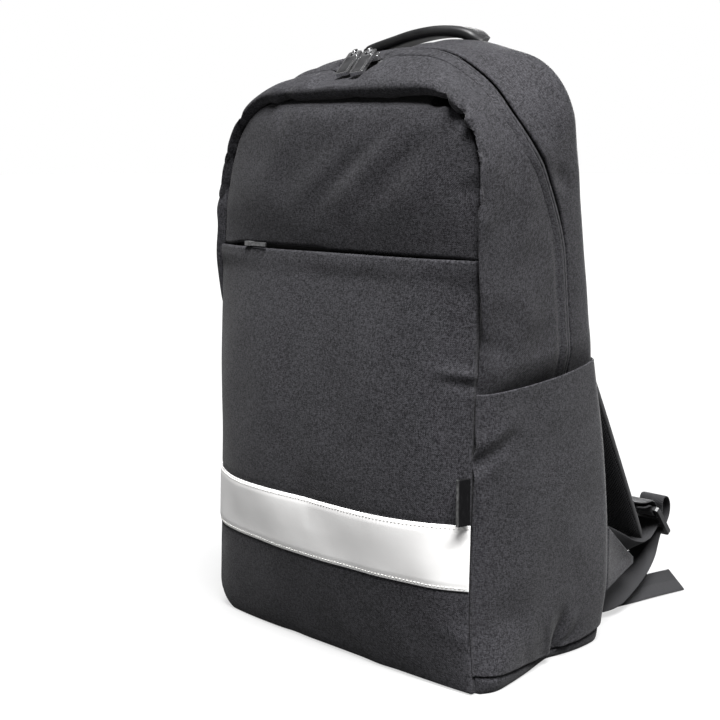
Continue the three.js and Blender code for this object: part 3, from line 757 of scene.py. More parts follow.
@dataclass(frozen=True)
class Stitches:
    """A row of sewing thread: short rounded stitches, evenly spaced along a line."""

    length: float = 2.3
    pitch: float = 3.3
    radius: float = 0.32
    flat: float = 1.2
    lift: float = 1.1
    sides: int = 6
    rings: Rows = ((-1.0, 0.25), (-0.72, 0.85), (0.0, 1.0), (0.72, 0.85), (1.0, 0.25))
    caps: tuple[tuple[int, ...], ...] = ((0, 5, 4, 1), (1, 4, 3, 2), (24, 25, 28, 29), (25, 26, 27, 28))

    def parts(self, line: Array, normals: Array) -> MeshParts:
        """Stitches along a line that lies on a surface.

        Args:
            line: Points of the line.
            normals: Outward direction at each point.

        Returns:
            One small six-sided body with pointed ends for each stitch.
        """
        run = run_lengths(line)
        places = np.arange(self.pitch / 2, run[-1], self.pitch)

        def read(values: Array, at: Array) -> Array:
            """Values at lengths along the line, read between its points."""
            return np.stack([np.interp(at, run, values[:, axis]) for axis in range(3)], axis=-1)

        middle, up = read(line, places), unit(read(normals, places))
        along = unit(read(line, places + 0.5) - read(line, places - 0.5))
        side = np.cross(up, along)
        turn = np.arange(self.sides) * 2 * np.pi / self.sides
        reach, swell = np.array(self.rings).T[..., None]
        ahead = (reach * self.length / 2 + 0 * turn).ravel()
        across = (swell * np.cos(turn) * self.radius * self.flat).ravel()
        above = (swell * np.sin(turn) * self.radius + self.radius * (self.lift - reach**2)).ravel()
        points = middle[:, None] + along[:, None] * ahead[:, None] + side[:, None] * across[:, None]
        points = points + up[:, None] * above[:, None]
        one = np.concatenate([grid_quads(len(self.rings), self.sides, wrap=True), np.array(self.caps)])
        quads = (one[None] + len(ahead) * np.arange(len(places))[:, None, None]).reshape(-1, 4)
        vertices = points.reshape(-1, 3)
        return MeshParts(vertices, quads, vertices[quads][..., :2])


# Finishes


class Sock:
    """A node's socket that takes part in sums: each operator adds a Math node."""

    def __init__(self, kit: "NodeKit", socket: bpy.types.NodeSocket) -> None:
        self.kit = kit
        self.socket = socket

    def math(self, operation: str, *others: "Sock | float", swap: bool = False) -> "Sock":
        """One Math node of this value and others, which come first if swapped."""
        values = [*others, self] if swap else [self, *others]
        return self.kit.add("ShaderNodeMath", {"operation": operation}, dict(enumerate(values)))

    def __add__(self, other: "Sock | float") -> "Sock":
        """Sum."""
        return self.math("ADD", other)

    __radd__ = __add__

    def __sub__(self, other: "Sock | float") -> "Sock":
        """Difference."""
        return self.math("SUBTRACT", other)

    def __rsub__(self, other: float) -> "Sock":
        """Number less this value."""
        return self.math("SUBTRACT", other, swap=True)

    def __mul__(self, other: "Sock | float") -> "Sock":
        """Product."""
        return self.math("MULTIPLY", other)

    __rmul__ = __mul__

    def __truediv__(self, other: "Sock | float") -> "Sock":
        """Quotient."""
        return self.math("DIVIDE", other)

    def sine(self) -> "Sock":
        """Sine of this value in radians."""
        return self.math("SINE")

    def limited(self) -> "Sock":
        """This value held between 0 and 1."""
        return self.math("MAXIMUM", 0.0).math("MINIMUM", 1.0)

    def rise(self, low: float, high: float) -> "Sock":
        """Straight rise from 0 where this value is low to 1 where it is high."""
        return ((self - low) / (high - low)).limited()


class NodeKit:
    """The node tree of one material."""

    def __init__(self, name: str) -> None:
        """Starts an empty material.

        Args:
            name: Name of the material.
        """
        self.material = bpy.data.materials.new(name)
        self.material.use_nodes = True
        self.tree = self.material.node_tree
        self.tree.nodes.clear()

    def add(
        self,
        kind: str,
        settings: dict[str, object] | None = None,
        inputs: dict[int | str, object] | None = None,
        output: int | str = 0,
    ) -> Sock:
        """Adds a node.

        Args:
            kind: The node's type.
            settings: Its properties, set first.
            inputs: Values or sockets for its inputs, by number or name.
            output: The output that is handed back.

        Returns:
            That output.
        """
        node = self.tree.nodes.new(kind)
        for key, value in (settings or {}).items():
            setattr(node, key, value)
        for key, value in (inputs or {}).items():
            if isinstance(value, Sock):
                self.tree.links.new(value.socket, node.inputs[key])
            else:
                node.inputs[key].default_value = value
        return Sock(self, node.outputs[output])

    @cached_property
    def place(self) -> tuple[Sock, Sock]:
        """Lengths across and up the cloth in millimetres, from the piece's UV map.

        Returns:
            The two lengths.
        """
        cloth = self.add("ShaderNodeTexCoord", output="UV")
        split = [self.add("ShaderNodeSeparateXYZ", None, {0: cloth}, axis) for axis in ("X", "Y")]
        return split[0] / MM, split[1] / MM

    def solid_place(self) -> Sock:
        """Place in the object in millimetres."""
        spot = self.add("ShaderNodeTexCoord", output="Object")
        return self.add("ShaderNodeVectorMath", {"operation": "SCALE"}, {0: spot, "Scale": 1.0 / MM})

    def vector(self, x: Sock | float, y: Sock | float, z: Sock | float = 0.0) -> Sock:
        """A vector from its three parts."""
        return self.add("ShaderNodeCombineXYZ", None, {0: x, 1: y, 2: z})

    def noise(self, vector: Sock, scale: float = 1.0, detail: float = 2.0, rough: float = 0.5) -> Sock:
        """Smooth noise about 0.5."""
        inputs = {"Vector": vector, "Scale": scale, "Detail": detail, "Roughness": rough}
        return self.add("ShaderNodeTexNoise", None, inputs)

    def cloth_noise(
        self, across: float, up: float, layer: float = 0.0, detail: float = 2.0, rough: float = 0.5
    ) -> Sock:
        """Smooth noise about 0.5 on the cloth.

        Args:
            across: Length of its grains across the cloth.
            up: Their length up the cloth.
            layer: Place across the layers of the noise, which sets patterns apart.
            detail: Number of finer layers.
            rough: Strength of the finer layers.

        Returns:
            The noise.
        """
        x, y = self.place
        return self.noise(self.vector(x / across, y / up, layer), 1.0, detail, rough)

    @staticmethod
    def ridges(place: Sock, pitch: float) -> Sock:
        """Sine from 0 to 1 with a pitch."""
        return (place * (2 * math.pi / pitch)).sine() * 0.5 + 0.5

    def blend(self, share: Sock | float, a: Colour | Sock, b: Colour | Sock) -> Sock:
        """Colour between two colours."""
        ends = [value if isinstance(value, Sock) else (*value, 1.0) for value in (a, b)]
        return self.add("ShaderNodeMix", {"data_type": "RGBA"}, {"Factor": share, 6: ends[0], 7: ends[1]}, 2)

    def bump(self, height: Sock, depth: float) -> Sock:
        """Normal of a surface with heights from 0 to 1, for a depth in millimetres."""
        return self.add("ShaderNodeBump", None, {"Height": height, "Distance": depth * MM, "Strength": 1.0})

    def finish(self, **sockets: object) -> Material:
        """Joins a Principled shader to the output, with its sockets by name, underscores for spaces.

        Args:
            sockets: Values or sockets of the shader's inputs.

        Returns:
            The material.
        """
        named = {key.replace("_", " "): value for key, value in sockets.items()}
        shader = self.add("ShaderNodeBsdfPrincipled", None, named)
        end = self.tree.nodes.new("ShaderNodeOutputMaterial")
        self.tree.links.new(shader.socket, end.inputs["Surface"])
        return self.material


class Finish(Protocol):
    """Anything that makes a material."""

    def make(self) -> Material:
        """The material."""


@dataclass(frozen=True)
class HeatherCloth:
    """Plain woven polyester of mixed dark and pale yarns, with a soft nap."""

    name: str
    dark: Colour
    pale: Colour
    yarn: float = 0.7
    streak: float = 2.5
    fleck: float = 1.2
    cloud: float = 38.0
    contrast: float = 5.2
    paleness: float = 0.45
    weave_depth: float = 0.28
    sheen: float = 0.05

    def make(self) -> Material:
        """Yarn streaks both ways choose between the two yarns, and the weave is a product of two sines.

        Returns:
            The material.
        """
        kit = NodeKit(self.name)
        x, y = kit.place
        warp = kit.cloth_noise(self.yarn, self.streak, 1.7, detail=1.0)
        weft = kit.cloth_noise(self.streak, self.yarn, 8.3, detail=1.0)
        fleck = kit.cloth_noise(self.fleck, self.fleck, 4.1, detail=3.0, rough=0.8)
        cloud = kit.cloth_noise(self.cloud, self.cloud, 2.9, detail=3.0)
        yarns = warp * 0.36 + weft * 0.36 + fleck * 0.28
        pale = (yarns - 0.5) * self.contrast + self.paleness + (cloud - 0.5) * 0.3
        turns = 2.0 * math.pi / (2.0 * self.yarn)
        weave = (x * turns).sine() * (y * turns).sine()
        height = weave * 0.22 + 0.5 + (yarns - 0.5) * 0.9
        return kit.finish(
            Base_Color=kit.blend(pale.limited(), self.dark, self.pale),
            Roughness=0.86 - yarns * 0.16,
            Normal=kit.bump(height, self.weave_depth),
            Specular_IOR_Level=0.12,
            Sheen_Weight=self.sheen,
            Sheen_Roughness=0.45,
        )


@dataclass(frozen=True)
class ReflectiveTape:
    """Off-white tape with a fine beaded face, faintly soiled."""

    name: str
    clean: Colour = (0.57, 0.565, 0.56)
    soiled: Colour = (0.50, 0.495, 0.49)

    def make(self) -> Material:
        """Broad clouds of soiling under fine beads.

        Returns:
            The material.
        """
        kit = NodeKit(self.name)
        cloud = kit.cloth_noise(60.0, 30.0, 0.4, detail=4.0)
        bead = kit.cloth_noise(0.5, 0.5, 3.0, detail=1.0)
        wave = kit.cloth_noise(22.0, 34.0, 6.0, detail=1.0)
        return kit.finish(
            Base_Color=kit.blend(cloud.rise(0.45, 0.8) * 0.7 + bead * 0.1, self.clean, self.soiled),
            Roughness=0.5 + bead * 0.12,
            Normal=kit.bump(bead * 0.16 + wave, 0.25),
            Specular_IOR_Level=0.4,
        )


@dataclass(frozen=True)
class RibbedTape:
    """Narrow woven tape such as zip tape: fine ribs along it."""

    name: str
    dark: Colour = (0.006, 0.006, 0.0065)
    pale: Colour = (0.022, 0.022, 0.024)
    rib: float = 0.7

    def make(self) -> Material:
        """Ribs are a sine across the tape, broken up by noise.

        Returns:
            The material.
        """
        kit = NodeKit(self.name)
        x, _ = kit.place
        rib = kit.ridges(x, self.rib)
        fuzz = kit.cloth_noise(0.5, 1.2, detail=2.0)
        return kit.finish(
            Base_Color=kit.blend(rib * 0.4 + fuzz * 0.5, self.dark, self.pale),
            Roughness=0.75 + fuzz * 0.1,
            Normal=kit.bump(rib * 0.6 + fuzz * 0.4, 0.12),
        )


@dataclass(frozen=True)
class SatinLabel:
    """Black folded label with a satin face."""

    name: str
    dark: Colour = (0.002, 0.002, 0.0023)
    worn: Colour = (0.006, 0.006, 0.0065)
    # Colour of the painted highlight on the fold's tip, which stands for light caught by the fold.
    rubbed: Colour = (0.09, 0.09, 0.09)
    thread: float = 0.45

    def make(self) -> Material:
        """Fine cross threads, faint rubbing, and a painted highlight: a pale stripe on the fold in the middle
        of the length.

        Returns:
            The material.
        """
        kit = NodeKit(self.name)
        x, y = kit.place
        thread = kit.ridges(y, self.thread)
        rub = kit.cloth_noise(2.0, 6.0, detail=4.0)
        # Painted highlight: the fold's tip is painted pale as if lit, broken up by the rub noise.
        fold = (1.0 - x.math("ABSOLUTE").rise(0.5, 1.3)) * rub.rise(0.25, 0.6)
        black = kit.blend(rub.rise(0.5, 0.85), self.dark, self.worn)
        return kit.finish(
            Base_Color=kit.blend(fold * 0.9, black, self.rubbed),
            Roughness=0.5 + rub * 0.2,
            Normal=kit.bump(thread * 0.3 + rub, 0.08),
            Specular_IOR_Level=0.08,
        )


@dataclass(frozen=True)
class PlatedMetal:
    """Nickel plating with fine scratches."""

    name: str
    bright: Colour = (0.66, 0.66, 0.67)
    dull: Colour = (0.32, 0.32, 0.325)
    roughness: float = 0.2

    def make(self) -> Material:
        """Scratches are noise drawn out along one direction of the solid.

        Returns:
            The material.
        """
        kit = NodeKit(self.name)
        spot = kit.solid_place()
        drawn = kit.add("ShaderNodeMapping", None, {"Vector": spot, "Scale": (6.0, 0.5, 2.0)})
        scratch = kit.noise(drawn, detail=3.0)
        tarnish = kit.noise(spot, scale=0.25, detail=3.0)
        return kit.finish(
            Base_Color=kit.blend(tarnish.rise(0.45, 0.75) * 0.8, self.bright, self.dull),
            Metallic=1.0,
            Roughness=self.roughness + scratch * 0.16,
            Normal=kit.bump(scratch, 0.02),
        )


@dataclass(frozen=True)
class SpacerMesh:
    """Air mesh over foam: staggered round holes in a knitted face."""

    name: str
    face: Colour = (0.020, 0.020, 0.0215)
    hole: Colour = (0.0015, 0.0015, 0.0018)
    pitch: float = 3.5

    def make(self) -> Material:
        """Holes sit where the sum of two sine grids, half a pitch apart, is high.

        Returns:
            The material.
        """
        kit = NodeKit(self.name)
        x, y = kit.place
        step = 2 * math.pi / self.pitch
        ridge = (x * step).sine() * (y * (step / 1.6)).sine()
        hole = (ridge.math("ABSOLUTE") - 0.42).rise(0.0, 0.25)
        knit = kit.cloth_noise(0.45, 0.8, detail=2.0)
        colour = kit.blend(knit.rise(0.3, 0.75), self.face, tuple(1.9 * c for c in self.face))
        return kit.finish(
            Base_Color=kit.blend(hole, colour, self.hole),
            Roughness=0.9,
            Normal=kit.bump(1.0 - hole + knit * 0.2, 0.8),
            Specular_IOR_Level=0.15,
        )


@dataclass(frozen=True)
class Leatherette:
    """Smooth black coated cloth with a fine pebbled grain."""

    name: str
    dark: Colour = (0.006, 0.006, 0.0065)
    worn: Colour = (0.022, 0.022, 0.0225)
    grain: float = 0.9

    def make(self) -> Material:
        """Grain is a cell pattern, and worn places are paler.

        Returns:
            The material.
        """
        kit = NodeKit(self.name)
        x, y = kit.place
        pebbles = {"Vector": kit.vector(x / self.grain, y / self.grain), "Scale": 1.0}
        cell = kit.add("ShaderNodeTexVoronoi", {"feature": "SMOOTH_F1"}, pebbles)
        rub = kit.cloth_noise(9.0, 24.0, detail=4.0)
        return kit.finish(
            Base_Color=kit.blend(rub.rise(0.45, 0.8) * 0.7, self.dark, self.worn),
            Roughness=0.42 + rub * 0.16,
            Normal=kit.bump(cell * 0.5 + rub, 0.1),
            Specular_IOR_Level=0.3,
        )


@dataclass(frozen=True)
class TwillWebbing:
    """Woven strap with slanting ribs and paler yarn ends."""

    name: str
    dark: Colour = (0.005, 0.005, 0.0055)
    pale: Colour = (0.032, 0.032, 0.034)
    rib: float = 1.5
    cross: float = 0.75

    def make(self) -> Material:
        """Ribs are a sine of the sum of the two lengths, with a finer cross weave.

        Returns:
            The material.
        """
        kit = NodeKit(self.name)
        x, y = kit.place
        rib = kit.ridges(x + y * 0.9, self.rib)
        cross = kit.ridges(x - y, self.cross)
        fuzz = kit.cloth_noise(0.6, 0.6, detail=2.0)
        return kit.finish(
            Base_Color=kit.blend((rib * 0.45 + fuzz * 0.6 - 0.12).limited(), self.dark, self.pale),
            Roughness=0.78 + fuzz * 0.1,
            Normal=kit.bump(rib * 0.7 + cross * 0.2 + fuzz * 0.2, 0.3),
            Specular_IOR_Level=0.15,
        )


@dataclass(frozen=True)
class MouldedPlastic:
    """Black moulded plastic with a faint spark-eroded grain."""

    name: str
    dark: Colour = (0.008, 0.008, 0.0085)
    pale: Colour = (0.02, 0.02, 0.021)

    def make(self) -> Material:
        """Grain and slight clouding from noise.

        Returns:
            The material.
        """
        kit = NodeKit(self.name)
        spot = kit.solid_place()
        grain = kit.noise(spot, scale=2.2, detail=2.0)
        cloud = kit.noise(spot, scale=0.15, detail=3.0)
        return kit.finish(
            Base_Color=kit.blend(cloud.rise(0.35, 0.75), self.dark, self.pale),
            Roughness=0.34 + grain * 0.14,
            Normal=kit.bump(grain, 0.03),
        )


@dataclass(frozen=True)
class SewingThread:
    """Twisted thread."""

    name: str
    deep: Colour
    pale: Colour

    def make(self) -> Material:
        """Twist marks from fine noise.

        Returns:
            The material.
        """
        kit = NodeKit(self.name)
        twist = kit.noise(kit.solid_place(), scale=3.0, detail=1.0)
        return kit.finish(
            Base_Color=kit.blend(twist.rise(0.35, 0.65), self.deep, self.pale),
            Roughness=0.6 + twist * 0.1,
            Normal=kit.bump(twist, 0.05),
        )


@dataclass(frozen=True)
class PaleFloor:
    """White light table: pale and matt, and lit from below."""

    name: str
    white: Colour = (0.105, 0.105, 0.105)
    shade: Colour = (0.098, 0.098, 0.098)
    unseen: Colour = (0.1, 0.1, 0.1)
    glow: float = 0.62

    def make(self) -> Material:
        """Nearly even white with broad faint clouds, its glow dimmer for the light that it throws back.

        Returns:
            The material.
        """
        kit = NodeKit(self.name)
        seen = kit.add("ShaderNodeLightPath", output="Is Camera Ray")
        cloud = kit.noise(kit.solid_place(), scale=0.004, detail=2.0)
        return kit.finish(
            Base_Color=kit.blend(cloud, self.white, self.shade),
            Roughness=0.9,
            Specular_IOR_Level=0.0,
            Emission_Color=kit.blend(seen, self.unseen, (1.0, 1.0, 1.0)),
            Emission_Strength=self.glow,
        )


def made(finish: Finish) -> Material:
    """Field of a finish's material, which is made together with the wardrobe."""
    return field(default_factory=finish.make)


@dataclass
class Wardrobe:
    """The bag's finishes, made once."""

    shell: Material = made(HeatherCloth("heather_cloth", (0.0037, 0.0036, 0.0045), (0.0305, 0.0299, 0.0338)))
    tape: Material = made(ReflectiveTape("reflective_tape"))
    zip_tape: Material = made(RibbedTape("zip_tape"))
    label: Material = made(SatinLabel("satin_label"))
    metal: Material = made(PlatedMetal("plated_metal"))
    mesh: Material = made(SpacerMesh("spacer_mesh"))
    leather: Material = made(Leatherette("leatherette"))
    webbing: Material = made(TwillWebbing("twill_webbing"))
    plastic: Material = made(MouldedPlastic("moulded_plastic"))
    white_thread: Material = made(SewingThread("white_thread", (0.62, 0.61, 0.58), (0.86, 0.85, 0.82)))
    dark_metal: Material = made(PlatedMetal("dark_metal", (0.30, 0.30, 0.305), (0.12, 0.12, 0.122), 0.3))


# The bag's form


class Section(NamedTuple):
    """An arched section of the gusset at a share of the depth from the front seam."""

    share: float
    half: float
    top: float
    radius: float
    crown: float
    puff: float


SECTIONS = (
    Section(0, 145, 438, 58, 0, 0),
    Section(0.02, 148.2, 440.4, 61, 1, -7.2),
    Section(0.035, 149.2, 443.4, 62, 2.1, -12),
    Section(0.06, 150.3, 447.2, 63, 4, -15),
    Section(0.09, 151, 450.8, 64.5, 5.8, -16),
    Section(0.13, 151.4, 454.8, 66, 8, -15.2),
    Section(0.18, 151.7, 458.8, 68.5, 10.5, -12.6),
    Section(0.27, 152.1, 464.2, 73, 14.6, -6.2),
    Section(0.37, 152.5, 471, 75, 17.5, 0),
    Section(0.65, 151.5, 480, 64, 19.5, 0),
    Section(0.88, 150, 484, 48, 20.5, 0),
    Section(0.96, 147, 481, 42, 19, 0),
    Section(1, 139, 474, 37, 17, 0),
)


class Frames(NamedTuple):
    """Places along a line, each with a sideways and an outward direction."""

    origin: Array
    side: Array
    up: Array

    def swept(self, outline: Array) -> Array:
        """Rings of an outline of side and up lengths, one outline for all places or one each."""
        across = self.side[:, None] * outline[..., 0, None]
        return self.origin[:, None] + across + self.up[:, None] * outline[..., 1, None]


@dataclass(frozen=True)
class BagForm:
    """Driving sizes of the bag and the surfaces that follow from them."""

    gap: float = 0.4
    front_seam: float = -85.0
    front_lean: float = 0.031
    side_taper: float = 0.024 / 435.0
    back_line: Rows = (
        (0, 83), (50, 90), (110, 88), (170, 80), (240, 64.5), (330, 49.5), (420, 36.5), (485, 26),
    )
    top_end: float = 0.2
    corner_end: float = 0.42
    base_end: float = 0.976
    puff_fade: Pair = (225.0, 330.0)
    zip_share_top: float = 0.34
    zip_share_side: float = 0.7
    zip_turn: Pair = (0.31, 0.54)
    zip_end: float = 0.69
    panel_power: float = 4.0
    panel_wall: float = 2.6
    panel_corner: Pair = (26.0, 2.5)
    pocket_edge: Rows = ((0, 224), (0.2, 225), (0.55, 228.5), (0.8, 233), (1, 237.5))
    foot_edge: Rows = (
        (0, 14.5), (0.1, 13), (0.25, 11), (0.45, 8), (0.53, 7), (0.62, 9), (0.75, 9.5), (0.88, 12), (1, 15),
    )
    foot_bulge: Rows = (
        (0, 5), (0.1, 8.5), (0.22, 5.5), (0.33, 1.5), (0.43, -2.5), (0.52, -6), (0.58, -7.5), (0.65, -5),
        (0.74, -2.5), (0.85, -1.5), (1, -2),
    )
    foot_height: float = 60.0
    dent_edge: float = 4.2
    dent_middle: float = 5.4
    dent_fade: Pair = (-16.0, 20.0)
    slump_in: float = 8.5
    slump_out: float = 3.5
    slump_shoulder: Pair = (345.0, 402.0)
    slump_waist: tuple[Pair, Pair] = ((150.0, 230.0), (300.0, 345.0))
    slump_across: Pair = (40.0, 130.0)
    swell: float = 7.0
    swell_across: tuple[Pair, Pair] = ((2.0, 34.0), (58.0, 108.0))
    dip: float = 5.0
    dip_across: tuple[Pair, Pair] = ((-44.0, -30.0), (4.0, 18.0))
    dip_depth: tuple[Pair, Pair] = ((0.05, 0.14), (0.27, 0.36))
    step: float = 0.002

    def front(self, z: Array) -> Array:
        """Y of the front seam at a height."""
        return self.front_seam + self.front_lean * z

    def back(self, z: Array) -> Array:
        """Y of the back seam at a height."""
        return Curve(self.back_line)(z)

    def section(self, share: Array) -> Section:
        """The section at a share of the depth, with arrays for sizes."""
        tables = ([(row.share, row[k]) for row in SECTIONS] for k in range(1, len(Section._fields)))
        return Section(share, *(Curve(table)(share) for table in tables))

    def arch(self, along: Array, share: Array) -> tuple[Array, Array]:
        """X and Z on an arched section: flat top, round corner, straight side, all dropped by the crown.

        Args:
            along: 0 at the top middle, 1 at the foot of the right side and -1 of the left.
            share: Share of the depth.

        Returns:
            X and Z.
        """
        s = self.section(share)
        reach = np.abs(along)
        turn = np.clip((reach - self.top_end) / (self.corner_end - self.top_end), 0.0, 1.0) * np.pi / 2
        flat, shoulder = s.half - s.radius, s.top - s.radius
        x = np.where(reach < self.top_end, flat * reach / self.top_end, flat + s.radius * np.sin(turn))
        fall = np.clip((reach - self.corner_end) / (1 - self.corner_end), 0.0, None)
        rounded = shoulder + s.radius * np.cos(turn)
        rise = np.where(reach < self.corner_end, rounded, mix(shoulder, s.crown, fall))
        z = rise - s.crown * (x / s.half) ** 2
        return np.sign(along) * x * (1 - self.side_taper * z), z

    def pocket_rim(self, share: Array) -> Array:
        """Height of the side pocket's edge."""
        return Curve(self.pocket_edge)(share)

    def foot_rim(self, share: Array) -> Array:
        """Height of the seam between a side pocket and the base."""
        return Curve(self.foot_edge)(share)

    def sag(self, share: Array, z: Array) -> Array:
        """Outward sag of the cloth above the base."""
        return Curve(self.foot_bulge)(share) * (1 - smooth(z, 0.0, self.foot_height))

    def corner(self, left: Array | bool, z: Array) -> Array:
        """How far a bottom corner of the front is rounded off at a height: part of a circle."""
        radius = np.where(left, *self.panel_corner)
        return radius - np.sqrt(radius**2 - np.clip(radius - z, 0.0, radius) ** 2)

    def foot_reach(self, side: Side, share: Array, z: Array) -> Array:
        """Outward sag of a side above the base, less its rounded front corner.

        Args:
            side: The side of the bag.
            share: Share of the depth.
            z: Heights of the places.

        Returns:
            Lengths outward.
        """
        sag = self.sag(share, z)
        if side is Side.RIGHT:
            return sag
        return np.minimum(sag, 0.0) - self.corner(True, z) * (1 - smooth(share, 0.0, 0.35))

    def dent(self, share: Array, z: Array) -> Array:
        """How far the wall is pushed in behind a side pocket.

        Args:
            share: Share of the depth.
            z: Heights of the places.

        Returns:
            Lengths inward.
        """
        above = z - self.pocket_rim(share)
        depth = self.dent_edge * (1 - 0.6 * smooth(share, 0.75, 1.0))
        depth = depth + self.dent_middle * np.sin(np.pi * np.clip(share, 0.0, 1.0))
        return (1 - smooth(above, *self.dent_fade)) * depth

    def slump(self, x: Array, z: Array) -> Array:
        """How far the left side of the front sags: in at the shoulder, out at half height.

        Args:
            x: X of the places.
            z: Heights of the places.

        Returns:
            Lengths along X.
        """
        rise, fall = self.slump_waist
        out = smooth(z, *rise) - smooth(z, *fall)
        inward = self.slump_in * smooth(z, *self.slump_shoulder) - self.slump_out * out
        return inward * smooth(-x, *self.slump_across)

    def dome(self, x: Array, share: Array) -> Array:
        """How far the stuffed top stands up right of the zip pulls, less the dip that they lie in.

        Args:
            x: X of the places.
            share: Share of the depth.

        Returns:
            Lengths upward.
        """
        swell = self.swell * window(x, *self.swell_across)
        swell = swell * smooth(share, 0.1, 0.3) * (1 - 0.45 * smooth(share, 0.5, 0.75))
        return swell - self.dip * window(x, *self.dip_across) * window(share, *self.dip_depth)

    def gusset(self, along: Array, share: Array) -> Array:
        """Outer face of the gusset.

        Args:
            along: Place along the arch, from -1 to 1.
            share: Share of the depth.

        Returns:
            Points.
        """
        along, share = np.broadcast_arrays(np.asarray(along, float), np.asarray(share, float))
        x, z = self.arch(along, share)
        forward = self.section(share).puff * smooth(z, *self.puff_fade)
        y = mix(self.front(z), self.back(z), share) + forward
        inward = self.dent(share, z) - np.minimum(self.sag(share, z), 0.0)
        x = x - np.sign(along) * inward
        lift = self.dome(x, share) * smooth(z, 380.0, 440.0)
        return stack(x + self.slump(x, z) * (1 - smooth(share, 0.1, 0.45)), y, z + lift)

    def zip_share(self, along: Array) -> Array:
        """Share of the depth at which the main zip runs."""
        return mix(self.zip_share_top, self.zip_share_side, smooth(np.abs(along), *self.zip_turn))

    def beside_zip(self, along: Array, offset: Array | float) -> Array:
        """Share of the depth at a distance across the zip, positive to the rear.

        Args:
            along: Place along the arch, from -1 to 1.
            offset: Distance across the zip.

        Returns:
            Shares of the depth.
        """
        step = self.step
        a = self.gusset(along - step, self.zip_share(along - step))
        b = self.gusset(along + step, self.zip_share(along + step))
        slant = (b[..., 1] - a[..., 1]) / np.hypot(b[..., 0] - a[..., 0], b[..., 2] - a[..., 2])
        depth = self.back(a[..., 2]) - self.front(a[..., 2])
        return self.zip_share(along) + offset * np.hypot(1.0, slant) / depth

    def zip_frames(self, along: Array) -> Frames:
        """Places on the zip line, with the rearward side and the outward direction.

        Args:
            along: Place along the arch, from -1 to 1.

        Returns:
            A frame at each place.
        """
        step = self.step
        share = self.zip_share(along)
        ahead = self.gusset(along + step, self.zip_share(along + step))
        run = unit(ahead - self.gusset(along - step, self.zip_share(along - step)))
        across = self.gusset(along, share + step) - self.gusset(along, share - step)
        up = unit(np.cross(run, across))
        return Frames(self.gusset(along, share), np.cross(up, run), up)

    def along_at(self, z: Array) -> Array:
        """Place along the front seam at a height on the straight part of the side."""
        return mix(1.0, self.corner_end, np.asarray(z, float) / (SECTIONS[0].top - SECTIONS[0].radius))

    def panel(self, puff: Curve, u: Array, along: Array) -> Array:
        """Outer face of a front panel: across by u from -1 to 1, and up its edge as the front seam goes.

        The puff stands forward by its value at the height times 1 - u to the panel's power, and the bottom
        corners are rounded.

        Args:
            puff: Puff by height.
            u: Place across.
            along: Place along the arch, from -1 to 1.

        Returns:
            Points.
        """
        x, z = self.arch(along, np.zeros_like(along))
        proud = puff(z) * (1 - np.abs(u) ** self.panel_power)
        flare = self.sag(0.0, z) * smooth(u, 0.6, 1.0)
        x = u * (x - self.corner(u < 0, z)) + flare
        return stack(x + self.slump(x, z), self.front(z) - self.gap - self.panel_wall - proud, z)


FORM = BagForm()


# Sub-assemblies


